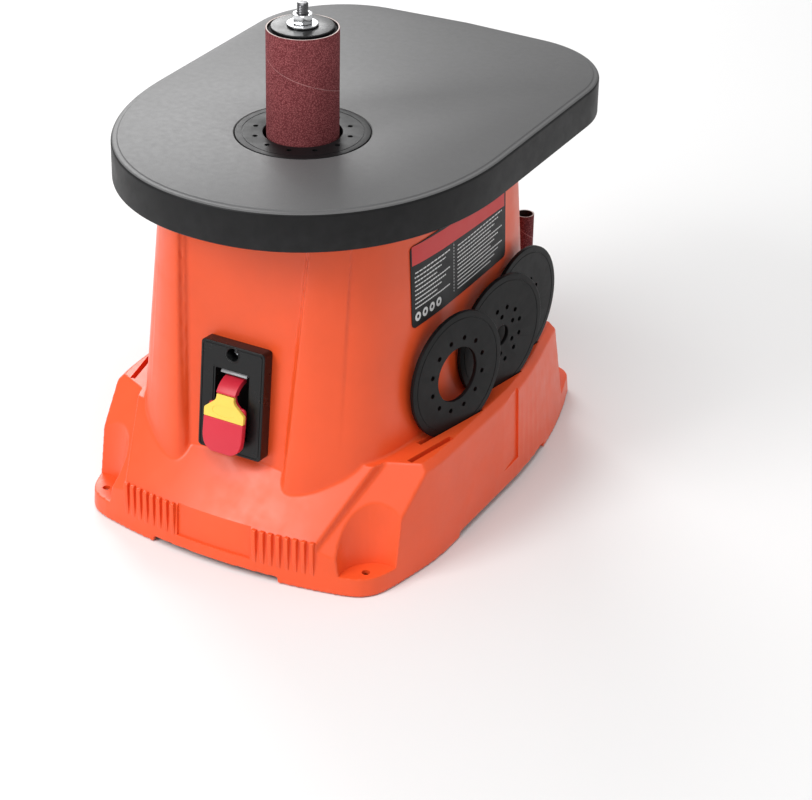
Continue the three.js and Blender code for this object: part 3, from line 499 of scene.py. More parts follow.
def motor_bosses():
    bosses = None
    for x, y in MOTOR_BOSSES:
        far = math.copysign(105, x)
        boss = add(rod(7, LEDGE_Z - 2, MOTOR_PLATE_Z, x, y, sides=32),
                   box(min(x, far), max(x, far), y - 3, y + 3, LEDGE_Z - 2, 92))
        bosses = add(bosses, boss) if bosses else boss
    return keep_inside(bosses, column_form(1, 60, COLUMN_TOP))


def make_housing():
    """The moulded shell. Its outside is softened first, so that what is cut afterwards stays crisp."""
    outer = add(base_form(0), column_form(0, 50, COLUMN_TOP))
    cut(outer, box(-52, 52, -200, 200, 0, 5), box(-200, 200, -62, 83, 0, 5))
    soften(outer, SOFT_VOXEL)
    finger_recess = both_sides(stack([[base_draft((x, y, z)) for x, y in FINGER_RECESS] for z in (20, 100)]))
    cut(outer, finger_recess, front_panel(), *slot_cutters(SLOT_WIDTH, 0, 73, LEDGE_Z + 5),
        *corner_pockets(0))
    add(outer, *front_ribs())
    cavity = add(base_form(WALL), column_form(WALL, 62, COLUMN_TOP - 8))
    cut(cavity, *slot_cutters(9.6, 6, 70, LEDGE_Z + 5))
    cut(cavity, motor_bosses())
    cut(outer, cavity)
    cut(outer, rod(60, COLUMN_TOP - 30, COLUMN_TOP + 5, y=SPINDLE_Y, sides=96),
        box(-62, 62, 20, 100, COLUMN_TOP - 30, COLUMN_TOP + 5))
    for x, y in TABLE_BOLTS:
        cut(outer, rod(4.5, COLUMN_TOP - 30, COLUMN_TOP + 5, x, y, sides=32))
    cut(outer, rod_y(17.8, 60, 200, z=PORT_Z), box(-21, 21, -165, -110, SWITCH_Z - 33, SWITCH_Z + 27),
        rod_y(2.6, -160, -120, z=SWITCH_Z + SCREW_Z), box(-42, 42, 90, 170, 102, 190),
        rod_y(8, 150, 200, x=GLAND_X, z=GLAND_Z))
    for side in (-1, 1):
        for x, y in BENCH_HOLES:
            cut(outer, rod(3, -5, 30, side * x, y, sides=40))
    return smooth_shade(outer)


# ---------------------------------------------------------------- table and inserts


def table_outline(inset):
    half = TABLE_HALF_WIDTH - inset
    reach = TABLE_HALF_DEPTH + TABLE_FRONT_START - inset
    steps = 48
    front = []
    for i in range(steps + 1):
        a = math.pi / 2 * i / steps
        front.append((half * math.sin(a) ** (2 / TABLE_FRONT_POWER),
                      TABLE_FRONT_START - reach * abs(math.cos(a)) ** (2 / TABLE_FRONT_POWER)))
    radius = TABLE_REAR_RADIUS - inset
    corner = arc(half - radius, TABLE_HALF_DEPTH - TABLE_REAR_BULGE - TABLE_REAR_RADIUS, radius, 0, 88, 24)
    return symmetric(front + corner + [(0, TABLE_HALF_DEPTH - inset)])


def make_table():
    """The top, with a rounded rim and a small step just inside it, over a hollow skirt."""
    bottom = TABLE_Z - TABLE_SKIRT
    levels = [(0.8, bottom), (0, bottom + 0.8), (0, TABLE_Z - 3.4)]
    for k in range(1, 9):
        a = math.radians(90 * k / 8)
        levels.append((2.6 * (1 - math.cos(a)), TABLE_Z - 3.4 + 2.6 * math.sin(a)))
    levels += [(3.9, TABLE_Z - 0.7), (4.2, TABLE_Z - 0.6), (4.6, TABLE_Z - 0.15), (5.0, TABLE_Z)]
    table = stack([[(x, y, z) for x, y in table_outline(i)] for i, z in levels])
    cut(table, prism(table_outline(TABLE_SKIRT_WALL), bottom - 1, TABLE_Z - TABLE_PLATE))
    add(table, rod(INSERT_RADIUS + 4, 262.3, TABLE_Z - 8, y=SPINDLE_Y, sides=128))
    for x, y in TABLE_BOLTS:
        add(table, rod(9, 278, TABLE_Z - 8, x, y, sides=32))
        cut(table, rod(3.4, 276, TABLE_Z - 4, x, y, sides=24))
    seat = [(0, TABLE_Z - 3.3), (INSERT_RADIUS + 0.5, TABLE_Z - 3.3), (INSERT_RADIUS + 0.5, TABLE_Z - 0.7),
            (INSERT_RADIUS + 1.2, TABLE_Z), (INSERT_RADIUS + 2.2, TABLE_Z + 1), (0, TABLE_Z + 1)]
    opening = rod(INSERT_RADIUS - 5, TABLE_Z - 40, TABLE_Z + 2, y=SPINDLE_Y, sides=128)
    cut(table, lathe(seat, 160, y=SPINDLE_Y), opening)
    return smooth_shade(table, 30)


def make_insert(hole, vents):
    """A disc on the axis, from 0 to 3 mm, with softened rims, vent holes and a fine groove in each face."""
    rim = rounded([(hole, 0), (INSERT_RADIUS, 0), (INSERT_RADIUS, 3), (hole, 3)], 0.55, 4)
    disc = lathe(rim, 160)
    for radius, count, turn in vents:
        for i in range(count):
            a = math.radians(turn + 360 * i / count)
            cut(disc, rod(1.9, -1, 4, radius * math.cos(a), radius * math.sin(a), sides=24))
    groove_above = [(42.4, 2.75), (43.0, 2.75), (43.2, 3.4), (42.2, 3.4)]
    groove_below = [(42.4, -0.4), (43.2, -0.4), (43.0, 0.25), (42.6, 0.25)]
    cut(disc, lathe(groove_above, 160), lathe(groove_below, 160))
    return smooth_shade(disc, 34)


MOUNTED_HOLE = 27.7
MOUNTED_VENTS = [(34, 12, 15)]
# For each: centre, turn and lean in degrees, radius of the hole, rings of vents as (radius, count, turn).
STORED_INSERTS = [
    (118.0, -44.0, 121.9, 12.9, 1.5, 20.5, [(27.5, 12, 15)]),
    (118.3, 23.2, 122.3, 11, 0, 8, [(15, 6, 0), (22, 12, 15)]),
    (111.4, 70.9, 121.9, 4.5, 0, 14, [(22, 12, 0)]),
]


def stored_insert(index):
    x, y, z, turn, lean, hole, vents = STORED_INSERTS[index]
    disc = placed(make_insert(hole, vents), moved(0, 0, -1.5))
    turned = Matrix.Rotation(-math.radians(turn), 4, "Z") @ Matrix.Rotation(math.radians(90 - lean), 4, "Y")
    return placed(disc, moved(x, y, z) @ turned)


# ---------------------------------------------------------------- spindle line


def turned_piece(points, radius, sides=128):
    return smooth_shade(lathe(rounded(points, radius), sides, y=SPINDLE_Y), 34)


def make_sleeve():
    r, t = SLEEVE_RADIUS, 1.1
    profile = [(r - t, SLEEVE_BOTTOM), (r, SLEEVE_BOTTOM), (r, SLEEVE_TOP), (r - t, SLEEVE_TOP)]
    return turned_piece(profile, 0.25, 192)


def make_drum():
    r = SLEEVE_RADIUS - 1.4
    profile = [(6.6, SLEEVE_BOTTOM), (r, SLEEVE_BOTTOM), (r, SLEEVE_TOP - 1.5), (6.6, SLEEVE_TOP - 1.5)]
    return turned_piece(profile, 0.8)


def make_spindle():
    seat = SLEEVE_BOTTOM - 3.6
    top = SLEEVE_TOP - 1
    profile = [(0, 24), (8.5, 24), (8.5, 30.7), (6.3, 30.7), (6.3, seat - 4), (11, seat - 4), (11, seat),
               (6.3, seat), (6.3, top), (4, top)]
    corners = [0, 0.5, 0.3, 0.2, 0.2, 0.5, 0.5, 0.2, 0.3, 0.2]
    z = SLEEVE_TOP + 3
    pitch = 1.25
    while z < STUD_TOP - 1.8:
        profile += [(4, z), (3.55, z + pitch / 2)]
        corners += [0.1, 0.1]
        z += pitch
    profile += [(4, z), (3.9, STUD_TOP - 1), (3.1, STUD_TOP), (0, STUD_TOP)]
    corners += [0, 0, 0.2, 0]
    return smooth_shade(lathe(rounded(profile, corners, 2), 64, y=SPINDLE_Y), 50)


def make_nut():
    low, high = SLEEVE_TOP + 3.5, SLEEVE_TOP + 10
    hexagon = prism(circle(7.5, 6, 0, SPINDLE_Y), low, high)
    crown = [(0, low - 0.1), (6.7, low - 0.1), (7.6, low + 1), (7.6, high - 1), (6.6, high + 0.02),
             (0, high + 0.02)]
    nut = keep_inside(hexagon, lathe(crown, 96, y=SPINDLE_Y))
    bore = [(0, low - 1), (4.9, low - 1), (4.3, low + 0.7), (4.3, high - 0.7), (4.9, high + 1), (0, high + 1)]
    cut(nut, lathe(bore, 64, y=SPINDLE_Y))
    return smooth_shade(bevel(nut, 0.18, 2, 25), 30)


def washer(outer, inner, z0, z1, soft):
    return turned_piece([(inner, z0), (outer, z0), (outer, z1), (inner, z1)], soft)


# ---------------------------------------------------------------- pegs, feet, covers


def make_peg(side):
    base, top = PEG_SHELF_Z + GAP, PEG_TOP
    profile = [(0, base), (9, base), (9, base + 2), (5.6, base + 2), (5, base + 8),
               (5, top - 2), (3, top), (0, top)]
    peg = lathe(rounded(profile, [0, 0.2, 0.6, 0.8, 3, 1.4, 1.2, 0], 4), 64, side * PEG_X, PEG_Y)
    return smooth_shade(peg, 40)


def make_stored_sleeve():
    low = PEG_SHELF_Z + 2.6
    high = low + SLEEVE_LENGTH
    profile = [(5.9, low), (7, low), (7, high), (5.9, high)]
    return smooth_shade(lathe(rounded(profile, 0.2), 96, PEG_X, PEG_Y), 40)


def make_foot(node):
    low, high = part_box(node)
    centre = (low + high) / 2 / MM
    profile = [(2.6, 0), (8, 0), (8, 4), (6.5, 4), (6.5, 11.7), (2.6, 11.7)]
    return smooth_shade(lathe(rounded(profile, [0.3, 1, 0.8, 0.3, 0.3, 0.3]), 64, centre.x, centre.y), 40)


def make_bottom_plate():
    right = [(0, -167), (84, -157), (84, -124), (124, -118), (124, 20), (117, 88), (106, 120), (80, 124),
             (80, 166), (0, 166)]
    plate = prism(symmetric(right), 6, 8.4)
    for i in range(6):
        y = 20 + i * 12
        cut(plate, box(-50, 50, y, y + 5, 5, 10))
    return smooth_shade(bevel(plate, 0.5, 2), 30)


def make_rear_cover():
    cover = box(-48, 48, 0, 2.5, 0, 100)
    for i in range(7):
        z = 18 + i * 10
        cut(cover, box(-30, 30, -1, 3.5, z, z + 4))
    bevel(cover, 0.6, 3)
    for sx in (-42, 42):
        for sz in (8, 92):
            cut(cover, rod_y(2.6, 1.2, 5, x=sx, z=sz, sides=32))
    placed(cover, moved(0, 132.9, 96) @ Matrix.Rotation(math.atan2(22, 176), 4, "X"))
    return smooth_shade(cover, 30)


def make_port():
    start, end = 62 + SPINDLE_Y + GAP, 184
    profile = [(15.5, start), (17.5, start), (17.5, end - 4), (19.5, end - 4), (19.5, end), (15.5, end)]
    port = lathe(rounded(profile, [0.3, 0.3, 0.6, 0.8, 0.8, 0.6]), 96)
    placed(port, moved(0, 0, PORT_Z) @ Matrix.Rotation(-math.pi / 2, 4, "X"))
    return smooth_shade(port, 34)


def make_gland():
    profile = [(3.6, 165), (7.6, 165), (7.6, 183.6), (11, 183.6), (11, 188),
               (7.6, 188), (7.6, 190), (3.6, 190)]
    gland = lathe(rounded(profile, [0.4, 0.4, 0.3, 1, 1, 0.4, 0.6, 0.4]), 64)
    placed(gland, moved(GLAND_X, 0, GLAND_Z) @ Matrix.Rotation(-math.pi / 2, 4, "X"))
    return smooth_shade(gland, 34)


def make_label():
    """A thin printed film that follows the column's right side."""
    label = column_form(-0.7, 150, 250)
    cut(label, column_form(-GAP, 140, 260))
    outline = []
    for cy, cz, start in ((52, 227, 0), (-76, 227, 90), (-76, 173, 180), (52, 173, 270)):
        outline += arc(cy, cz, 4, start, start + 90, 6)
    window = stack([[(x, y, z) for y, z in outline] for x in (50, 150)])
    return smooth_shade(keep_inside(label, window), 30)


# ---------------------------------------------------------------- switch

SWITCH = moved(0, SWITCH_Y, SWITCH_Z) @ Matrix.Rotation(-math.radians(SWITCH_LEAN), 4, "X")
FLAP_TOP = (-15.4, 6.5)
FLAP_BOTTOM = (-19, -36.8)
FLAP_LENGTH = math.hypot(FLAP_TOP[0] - FLAP_BOTTOM[0], FLAP_TOP[1] - FLAP_BOTTOM[1])


def facing(outline, y0, y1):
    """A front view outline of (x, z), given depth from y0 back to y1."""
    return stack([[(x, y, z) for x, z in outline] for y in (y0, y1)])


def round_rect(half, low, high, radius):
    points = []
    for cx, cz, start in ((half - radius, low + radius, -90), (half - radius, high - radius, 0),
                          (-half + radius, high - radius, 90), (-half + radius, low + radius, 180)):
        points += arc(cx, cz, radius, start, start + 90, 8)
    return points


def make_switch_plate():
    plate = facing(round_rect(25.8, -41, 41, 3), -10.5, 0)
    bevel(plate, 0.6, 4, 50)
    lip = facing(round_rect(24.2, -39.4, 39.4, 2.2), -20, -10.1)
    cut(lip, facing(round_rect(23.6, -38.8, 38.8, 1.9), -21, -8))
    cut(lip, rod_y(6.2, -21, -8, z=SCREW_Z, sides=64))
    cut(plate, lip, facing(round_rect(13.8, -27, 22, 1.2), -20, 5))
    frame_step = facing(round_rect(15.2, -28.4, 23.4, 1.8), -20, -9.9)
    cut(plate, frame_step, rod_y(4.6, -20, -2.2, z=SCREW_Z, sides=64), rod_y(2.2, -20, 5, z=SCREW_Z))
    ring = lathe([(4.6, 9.5), (5.9, 9.5), (5.9, 10.5), (5.5, 10.9), (5.0, 10.9), (4.6, 10.5)], 64)
    add(plate, placed(ring, moved(0, 0, SCREW_Z) @ Matrix.Rotation(math.pi / 2, 4, "X")))
    return smooth_shade(placed(plate, SWITCH), 34)


def make_switch_body():
    body = add(box(-13.3, 13.3, -0.8, 8, -26.5, 21.5), box(-18, 18, 7, 26, -29, 24))
    bevel(body, 0.4, 2)
    side = [(0, 18.2), (-8.2, 18.2), (-8.2, 18.8), (-6.4, 21.2), (0, 21.2)]
    add(body, bevel(stack([[(x, y, z) for y, z in side] for x in (-10.6, 10.6)]), 0.3, 3))
    return smooth_shade(placed(body, SWITCH), 34)


def flap(widths, top, bottom, thickness):
    """A slab between two lines given as (y, z), its half widths listed down the slab, with rounded edges."""
    right = spline([(half, z) for z, half in widths], 6 * len(widths))
    outline = right + [(-half, z) for half, z in reversed(right)]
    slab = facing(outline, -thickness, 0)
    bevel(slab, 0.8, 4, 60)
    lean = math.atan2(bottom[0] - top[0], top[1] - bottom[1])
    return placed(slab, moved(0, top[0], top[1]) @ Matrix.Rotation(lean, 4, "X"))


def make_paddle():
    """The hinge neck curls out of the window into a flap whose lower lip shows below the safety key."""
    front = spline([(-3, 15.5), (-6, 16.2), (-10.4, 14.9), (-14.8, 11.9), (-17.6, 8.2), (-17.9, 6.9)], 24)
    back = spline([(-12.6, 6.9), (-11, 9.5), (-6.5, 12), (-2.6, 13)], 12)
    neck = bevel(stack([[(x, y, z) for y, z in front + back] for x in (-7.6, 7.6)]), 0.7, 4, 40)

    def behind(line, depth):
        return line[0] + depth, line[1]

    lower = flap([(4, 6), (-4, 7), (-8, 10.6), (-11.5, 15), (-34, 15.2), (-40, 13), (-FLAP_LENGTH, 8.4)],
                 behind(FLAP_TOP, 3), behind(FLAP_BOTTOM, 3), 2.6)
    lip = flap([(-18.8, 16), (-26, 16), (-34, 15.6), (-40, 13.2), (-FLAP_LENGTH, 8)], behind(FLAP_TOP, 1.6),
               behind(FLAP_BOTTOM, 1.6), 4.7)
    return smooth_shade(placed(add(neck, lower, lip), SWITCH), 40)


def make_key():
    """The yellow key, with a shallow oval thumb mark pressed into its face."""
    widths = [(-0.4, 7), (-4.5, 7.6), (-8, 11.2), (-11.5, 15.4), (-13.2, 16.2), (-18.4, 16)]
    key = flap(widths, FLAP_TOP, FLAP_BOTTOM, 3.1)
    mark = lathe([(0, -0.3), (6.2, -0.3), (6.6, 0.35), (0, 0.35)], 64)
    mark.data.transform(Matrix.Scale(1.5, 4, (1, 0, 0)) @ Matrix.Scale(0.62, 4, (0, 1, 0)))
    lean = math.atan2(FLAP_BOTTOM[0] - FLAP_TOP[0], FLAP_TOP[1] - FLAP_BOTTOM[1])
    facing_out = moved(0, FLAP_TOP[0], FLAP_TOP[1]) @ Matrix.Rotation(lean, 4, "X")
    placed(mark, facing_out @ moved(0, -3.15, -12.2) @ Matrix.Rotation(math.pi / 2, 4, "X"))
    cut(key, mark)
    return smooth_shade(placed(key, SWITCH), 40)


def make_switch_screw():
    head = [(0, 2.6), (3.6, 2.6), (3.6, 3.4), (2.4, 4.6), (0, 4.6)]
    screw = lathe(rounded(head, [0, 0.2, 0.4, 0.5, 0], 4), 48)
    add(screw, rod(1.8, -9, 3, sides=24))
    for turn in (0, 90):
        cross = box(-2.2, 2.2, -0.4, 0.4, 3.4, 6)
        cut(screw, placed(cross, Matrix.Rotation(math.radians(turn), 4, "Z")))
    placed(screw, SWITCH @ moved(0, 0, SCREW_Z) @ Matrix.Rotation(math.pi / 2, 4, "X"))
    return smooth_shade(screw, 34)


# ---------------------------------------------------------------- materials


class Nodes:
    """Short calls for building one material's node tree."""

    def __init__(self, name):
        self.material = bpy.data.materials.new(name)
        self.material.use_nodes = True
        self.tree = self.material.node_tree
        self.shader = self.tree.nodes["Principled BSDF"]
        self.coords = self.tree.nodes.new("ShaderNodeTexCoord").outputs["Object"]

    def link(self, value, socket):
        if isinstance(value, bpy.types.NodeSocket):
            self.tree.links.new(value, socket)
        else:
            socket.default_value = value

    def math(self, operation, a, b=0.0):
        node = self.tree.nodes.new("ShaderNodeMath")
        node.operation = operation
        self.link(a, node.inputs[0])
        self.link(b, node.inputs[1])
        return node.outputs[0]

    def noise(self, scale, detail=4.0, roughness=0.55, stretch=None):
        node = self.tree.nodes.new("ShaderNodeTexNoise")
        node.inputs["Scale"].default_value = scale
        node.inputs["Detail"].default_value = detail
        node.inputs["Roughness"].default_value = roughness
        self.link(self.stretched(stretch), node.inputs["Vector"])
        return node.outputs["Fac"]

    def voronoi(self, scale):
        node = self.tree.nodes.new("ShaderNodeTexVoronoi")
        node.inputs["Scale"].default_value = scale
        self.link(self.coords, node.inputs["Vector"])
        return node

    def stretched(self, stretch):
        if not stretch:
            return self.coords
        node = self.tree.nodes.new("ShaderNodeMapping")
        node.inputs["Scale"].default_value = stretch
        self.link(self.coords, node.inputs["Vector"])
        return node.outputs["Vector"]

    def spread(self, value, low, high, start=0.3, end=0.7):
        node = self.tree.nodes.new("ShaderNodeMapRange")
        self.link(value, node.inputs["Value"])
        node.inputs["From Min"].default_value = start
        node.inputs["From Max"].default_value = end
        node.inputs["To Min"].default_value = low
        node.inputs["To Max"].default_value = high
        return node.outputs["Result"]

    def blend(self, factor, a, b):
        node = self.tree.nodes.new("ShaderNodeMix")
        node.data_type = "RGBA"
        self.link(factor, node.inputs["Factor"])
        for value, socket in ((a, node.inputs[6]), (b, node.inputs[7])):
            self.link(value if isinstance(value, bpy.types.NodeSocket) else (*value, 1.0), socket)
        return node.outputs[2]

    def axis(self, letter):
        node = self.tree.nodes.new("ShaderNodeSeparateXYZ")
        self.link(self.coords, node.inputs[0])
        return node.outputs[letter]

    def edges(self, start, end):
        node = self.tree.nodes.new("ShaderNodeNewGeometry")
        return self.spread(node.outputs["Pointiness"], 0.0, 1.0, start, end)

    def bump(self, height, strength, distance, normal=None):
        node = self.tree.nodes.new("ShaderNodeBump")
        node.inputs["Strength"].default_value = strength
        node.inputs["Distance"].default_value = distance
        self.link(height, node.inputs["Height"])
        if normal is not None:
            self.link(normal, node.inputs["Normal"])
        return node.outputs["Normal"]

    def between(self, value, low, high):
        """1 where the value lies between the two limits."""
        above, below = self.math("GREATER_THAN", value, low), self.math("LESS_THAN", value, high)
        return self.math("MULTIPLY", above, below)

    def done(self, color, roughness, normal=None, metallic=0.0, specular=0.5):
        self.link(color, self.shader.inputs["Base Color"])
        self.link(roughness, self.shader.inputs["Roughness"])
        if normal is not None:
            self.link(normal, self.shader.inputs["Normal"])
        self.shader.inputs["Metallic"].default_value = metallic
        self.shader.inputs["Specular IOR Level"].default_value = specular
        return self.material


def scaled(color, factor):
    return tuple(min(1.0, c * factor) for c in color)


def moulded(name, color, roughness, grain=1400, depth=0.00004, mottle=0.05, specular=0.42):
    """Moulded plastic: a fine even texture, slow flow variation and slightly rubbed edges."""
    n = Nodes(name)
    flow = n.spread(n.noise(18, 5), 0.0, 1.0)
    tone = n.blend(flow, scaled(color, 1 - mottle), scaled(color, 1 + mottle))
    rubbed = n.math("MULTIPLY", n.edges(0.52, 0.60), n.noise(160, 3))
    tone = n.blend(n.math("MULTIPLY", rubbed, 0.25), tone, scaled(color, 1.35))
    rough = n.spread(n.noise(70, 6), roughness - 0.05, roughness + 0.07)
    texture = n.bump(n.noise(grain, 2, 0.5), 0.35, depth)
    wave = n.bump(n.noise(24, 2), 0.03, 0.0003, texture)
    return n.done(tone, rough, wave, specular=specular)


def rubber(name, color):
    n = Nodes(name)
    tone = n.blend(n.spread(n.noise(60, 6), 0.0, 1.0), scaled(color, 0.7), scaled(color, 1.6))
    rough = n.spread(n.noise(200, 4), 0.72, 0.9)
    return n.done(tone, rough, n.bump(n.noise(900, 3), 0.5, 0.00008), specular=0.3)


def metal(name, color, roughness, stretch=None, grain=700, depth=0.00003, stain=0.25):
    """Bare metal: tool marks, cloudy tone and brighter edges."""
    n = Nodes(name)
    clouds = n.spread(n.noise(90, 7, 0.65), 0.0, 1.0)
    tone = n.blend(clouds, scaled(color, 1 - stain), scaled(color, 1 + stain * 0.6))
    tone = n.blend(n.math("MULTIPLY", n.edges(0.53, 0.62), 0.4), tone, scaled(color, 1.5))
    rough = n.spread(n.noise(260, 5, stretch=stretch), roughness - 0.08, roughness + 0.12)
    return n.done(tone, rough, n.bump(n.noise(grain, 4, stretch=stretch), 0.4, depth), metallic=1.0)


def table_metal():
    """Grey coated iron, ground flat, with fine pores."""
    n = Nodes("table_iron")
    pores = n.spread(n.noise(1300, 3, 0.6), 0.0, 1.0, 0.35, 0.65)
    clouds = n.spread(n.noise(14, 6, 0.6), 0.0, 1.0)
    tone = n.blend(clouds, (0.090, 0.090, 0.091), (0.098, 0.098, 0.099))
    tone = n.blend(n.math("MULTIPLY", pores, 0.30), tone, (0.135, 0.135, 0.136))
    rough = n.spread(n.noise(220, 5), 0.47, 0.53)
    return n.done(tone, rough, n.bump(n.noise(1600, 3, 0.6), 0.35, 0.00005), specular=0.5)


def table_edge_paint():
    """The charcoal paint of the table's skirt, rubbed a little paler along its arrises."""
    n = Nodes("table_edge")
    tone = n.blend(n.spread(n.noise(45, 6), 0.0, 1.0), (0.0055, 0.0055, 0.006), (0.0080, 0.0080, 0.0085))
    worn = n.math("MULTIPLY", n.edges(0.51, 0.58), n.spread(n.noise(120, 5), 0.1, 0.9))
    tone = n.blend(n.math("MULTIPLY", worn, 0.30), tone, (0.06, 0.06, 0.062))
    rough = n.spread(n.noise(90, 5), 0.42, 0.52)
    return n.done(tone, rough, n.bump(n.noise(1200, 3), 0.4, 0.00006), specular=0.22)


def abrasive(name, centre, radius, pitch, seam_width, seam_start, dark, light):
    """Grit on cloth rolled into a tube: sharp grains, a pale spiral seam, the bare backing showing at its
    ends, and painted shade on its inner wall.
    """
    n = Nodes(name)
    cells = n.voronoi(1150)
    grain = n.spread(cells.outputs["Distance"], 0.0, 1.0, 0.1, 0.6)
    patch = n.spread(n.noise(40, 7, 0.7), 0.0, 1.0)
    tone = n.blend(grain, light, dark)
    tone = n.blend(n.math("MULTIPLY", patch, 0.35), tone, scaled(dark, 0.55))
    sparkle = n.math("GREATER_THAN", n.noise(2600, 1), 0.70)
    tone = n.blend(n.math("MULTIPLY", sparkle, 0.55), tone, (0.52, 0.25, 0.22))
    x = n.math("SUBTRACT", n.axis("X"), centre[0])
    y = n.math("SUBTRACT", n.axis("Y"), centre[1])
    turn = n.math("DIVIDE", n.math("ARCTAN2", y, x), 2 * math.pi)
    height = n.math("ADD", n.math("DIVIDE", n.axis("Z"), pitch), seam_start)
    place = n.math("FRACT", n.math("ADD", turn, height))
    seam = n.between(place, 0.0, seam_width / pitch)
    tone = n.blend(n.math("MULTIPLY", seam, n.spread(n.noise(500, 3), 0.25, 0.75)), tone, (0.56, 0.30, 0.29))
    away = n.math("SQRT", n.math("ADD", n.math("MULTIPLY", x, x), n.math("MULTIPLY", y, y)))
    inside = n.math("LESS_THAN", away, radius - 0.0002)
    tone = n.blend(inside, tone, n.blend(n.noise(900, 2), (0.66, 0.56, 0.53), (0.78, 0.70, 0.66)))
    # The inner wall, more than 1 mm in from the grit, is painted near-black: painted shade inside the tube.
    tone = n.blend(n.math("LESS_THAN", away, radius - 0.0010), tone, (0.035, 0.022, 0.020))
    relief = n.math("ADD", n.math("MULTIPLY", grain, -1.0), n.math("MULTIPLY", seam, -0.8))
    return n.done(tone, n.spread(grain, 0.78, 0.95), n.bump(relief, 0.8, 0.00012), specular=0.25)


def insert_plastic():
    n = Nodes("insert_plastic")
    tone = n.blend(n.spread(n.noise(40, 6), 0.0, 1.0), (0.0050, 0.0052, 0.0056), (0.0078, 0.0080, 0.0086))
    rough = n.spread(n.noise(120, 6), 0.38, 0.47)
    return n.done(tone, rough, n.bump(n.noise(1500, 3), 0.3, 0.00004), specular=0.15)


def label_film():
    """A dark printed film with a coloured header and generic bars in two columns."""
    n = Nodes("label_film")
    y, z = n.axis("Y"), n.axis("Z")
    slant = n.math("ADD", z, n.math("MULTIPLY", y, 0.05))
    tone = n.blend(n.noise(300, 3), (0.006, 0.006, 0.007), (0.011, 0.011, 0.012))
    header = n.math("MULTIPLY", n.between(slant, 0.2125, 0.2270), n.between(y, -0.0785, 0.054))
    tone = n.blend(header, tone, (0.66, 0.055, 0.055))
    divider = n.math("MULTIPLY", n.between(y, -0.0245, -0.0238), n.between(z, 0.175, 0.213))
    dashes = n.math("GREATER_THAN", n.math("FRACT", n.math("MULTIPLY", z, 420.0)), 0.4)
    tone = n.blend(n.math("MULTIPLY", divider, dashes), tone, (0.6, 0.6, 0.6))
    for low, high, top, count, pitch, thick in ((-0.076, -0.030, 0.2105, 9, 0.0033, 0.0010),
                                                (-0.019, 0.050, 0.2085, 12, 0.0030, 0.0009)):
        for i in range(count):
            shrink = 0.006 * ((i * 5) % 4)
            row = n.between(z, top - i * pitch - thick, top - i * pitch)
            bar = n.math("MULTIPLY", row, n.between(y, low, high - shrink))
            gaps = n.math("GREATER_THAN", n.math("FRACT", n.math("MULTIPLY", y, 210.0 + 31 * i)), 0.16)
            tone = n.blend(n.math("MULTIPLY", n.math("MULTIPLY", bar, gaps), 0.90), tone, (0.80, 0.80, 0.80))
    for cy, cz in ((-0.073, 0.1765), (-0.064, 0.1765), (-0.055, 0.1765), (-0.046, 0.1765)):
        dy, dz = n.math("SUBTRACT", y, cy), n.math("SUBTRACT", z, cz)
        away = n.math("SQRT", n.math("ADD", n.math("MULTIPLY", dy, dy), n.math("MULTIPLY", dz, dz)))
        tone = n.blend(n.between(away, 0.0014, 0.0034), tone, (0.68, 0.68, 0.68))
    rough = n.spread(n.noise(90, 5), 0.38, 0.48)
    return n.done(tone, rough, n.bump(n.noise(700, 2), 0.2, 0.00002), specular=0.22)


def copper_wire():
    n = Nodes("copper_wire")
    wave = n.tree.nodes.new("ShaderNodeTexWave")
    wave.bands_direction = "Z"
    wave.inputs["Scale"].default_value = 260
    wave.inputs["Distortion"].default_value = 2.5
    n.link(n.coords, wave.inputs["Vector"])
    tone = n.blend(wave.outputs["Fac"], (0.18, 0.05, 0.02), (0.62, 0.25, 0.10))
    rough = n.spread(n.noise(300), 0.3, 0.5)
    return n.done(tone, rough, n.bump(wave.outputs["Fac"], 0.7, 0.0003), metallic=0.8)


def laminated():
    n = Nodes("laminations")
    sheets = n.math("FRACT", n.math("MULTIPLY", n.axis("Z"), 1100.0))
    tone = n.blend(n.between(sheets, 0.0, 0.25), (0.17, 0.175, 0.185), (0.05, 0.05, 0.055))
    tone = n.blend(n.math("MULTIPLY", n.spread(n.noise(60, 6), 0.0, 1.0), 0.4), tone, (0.12, 0.09, 0.07))
    return n.done(tone, n.spread(n.noise(200), 0.4, 0.6), n.bump(sheets, 0.4, 0.0001), metallic=0.85)


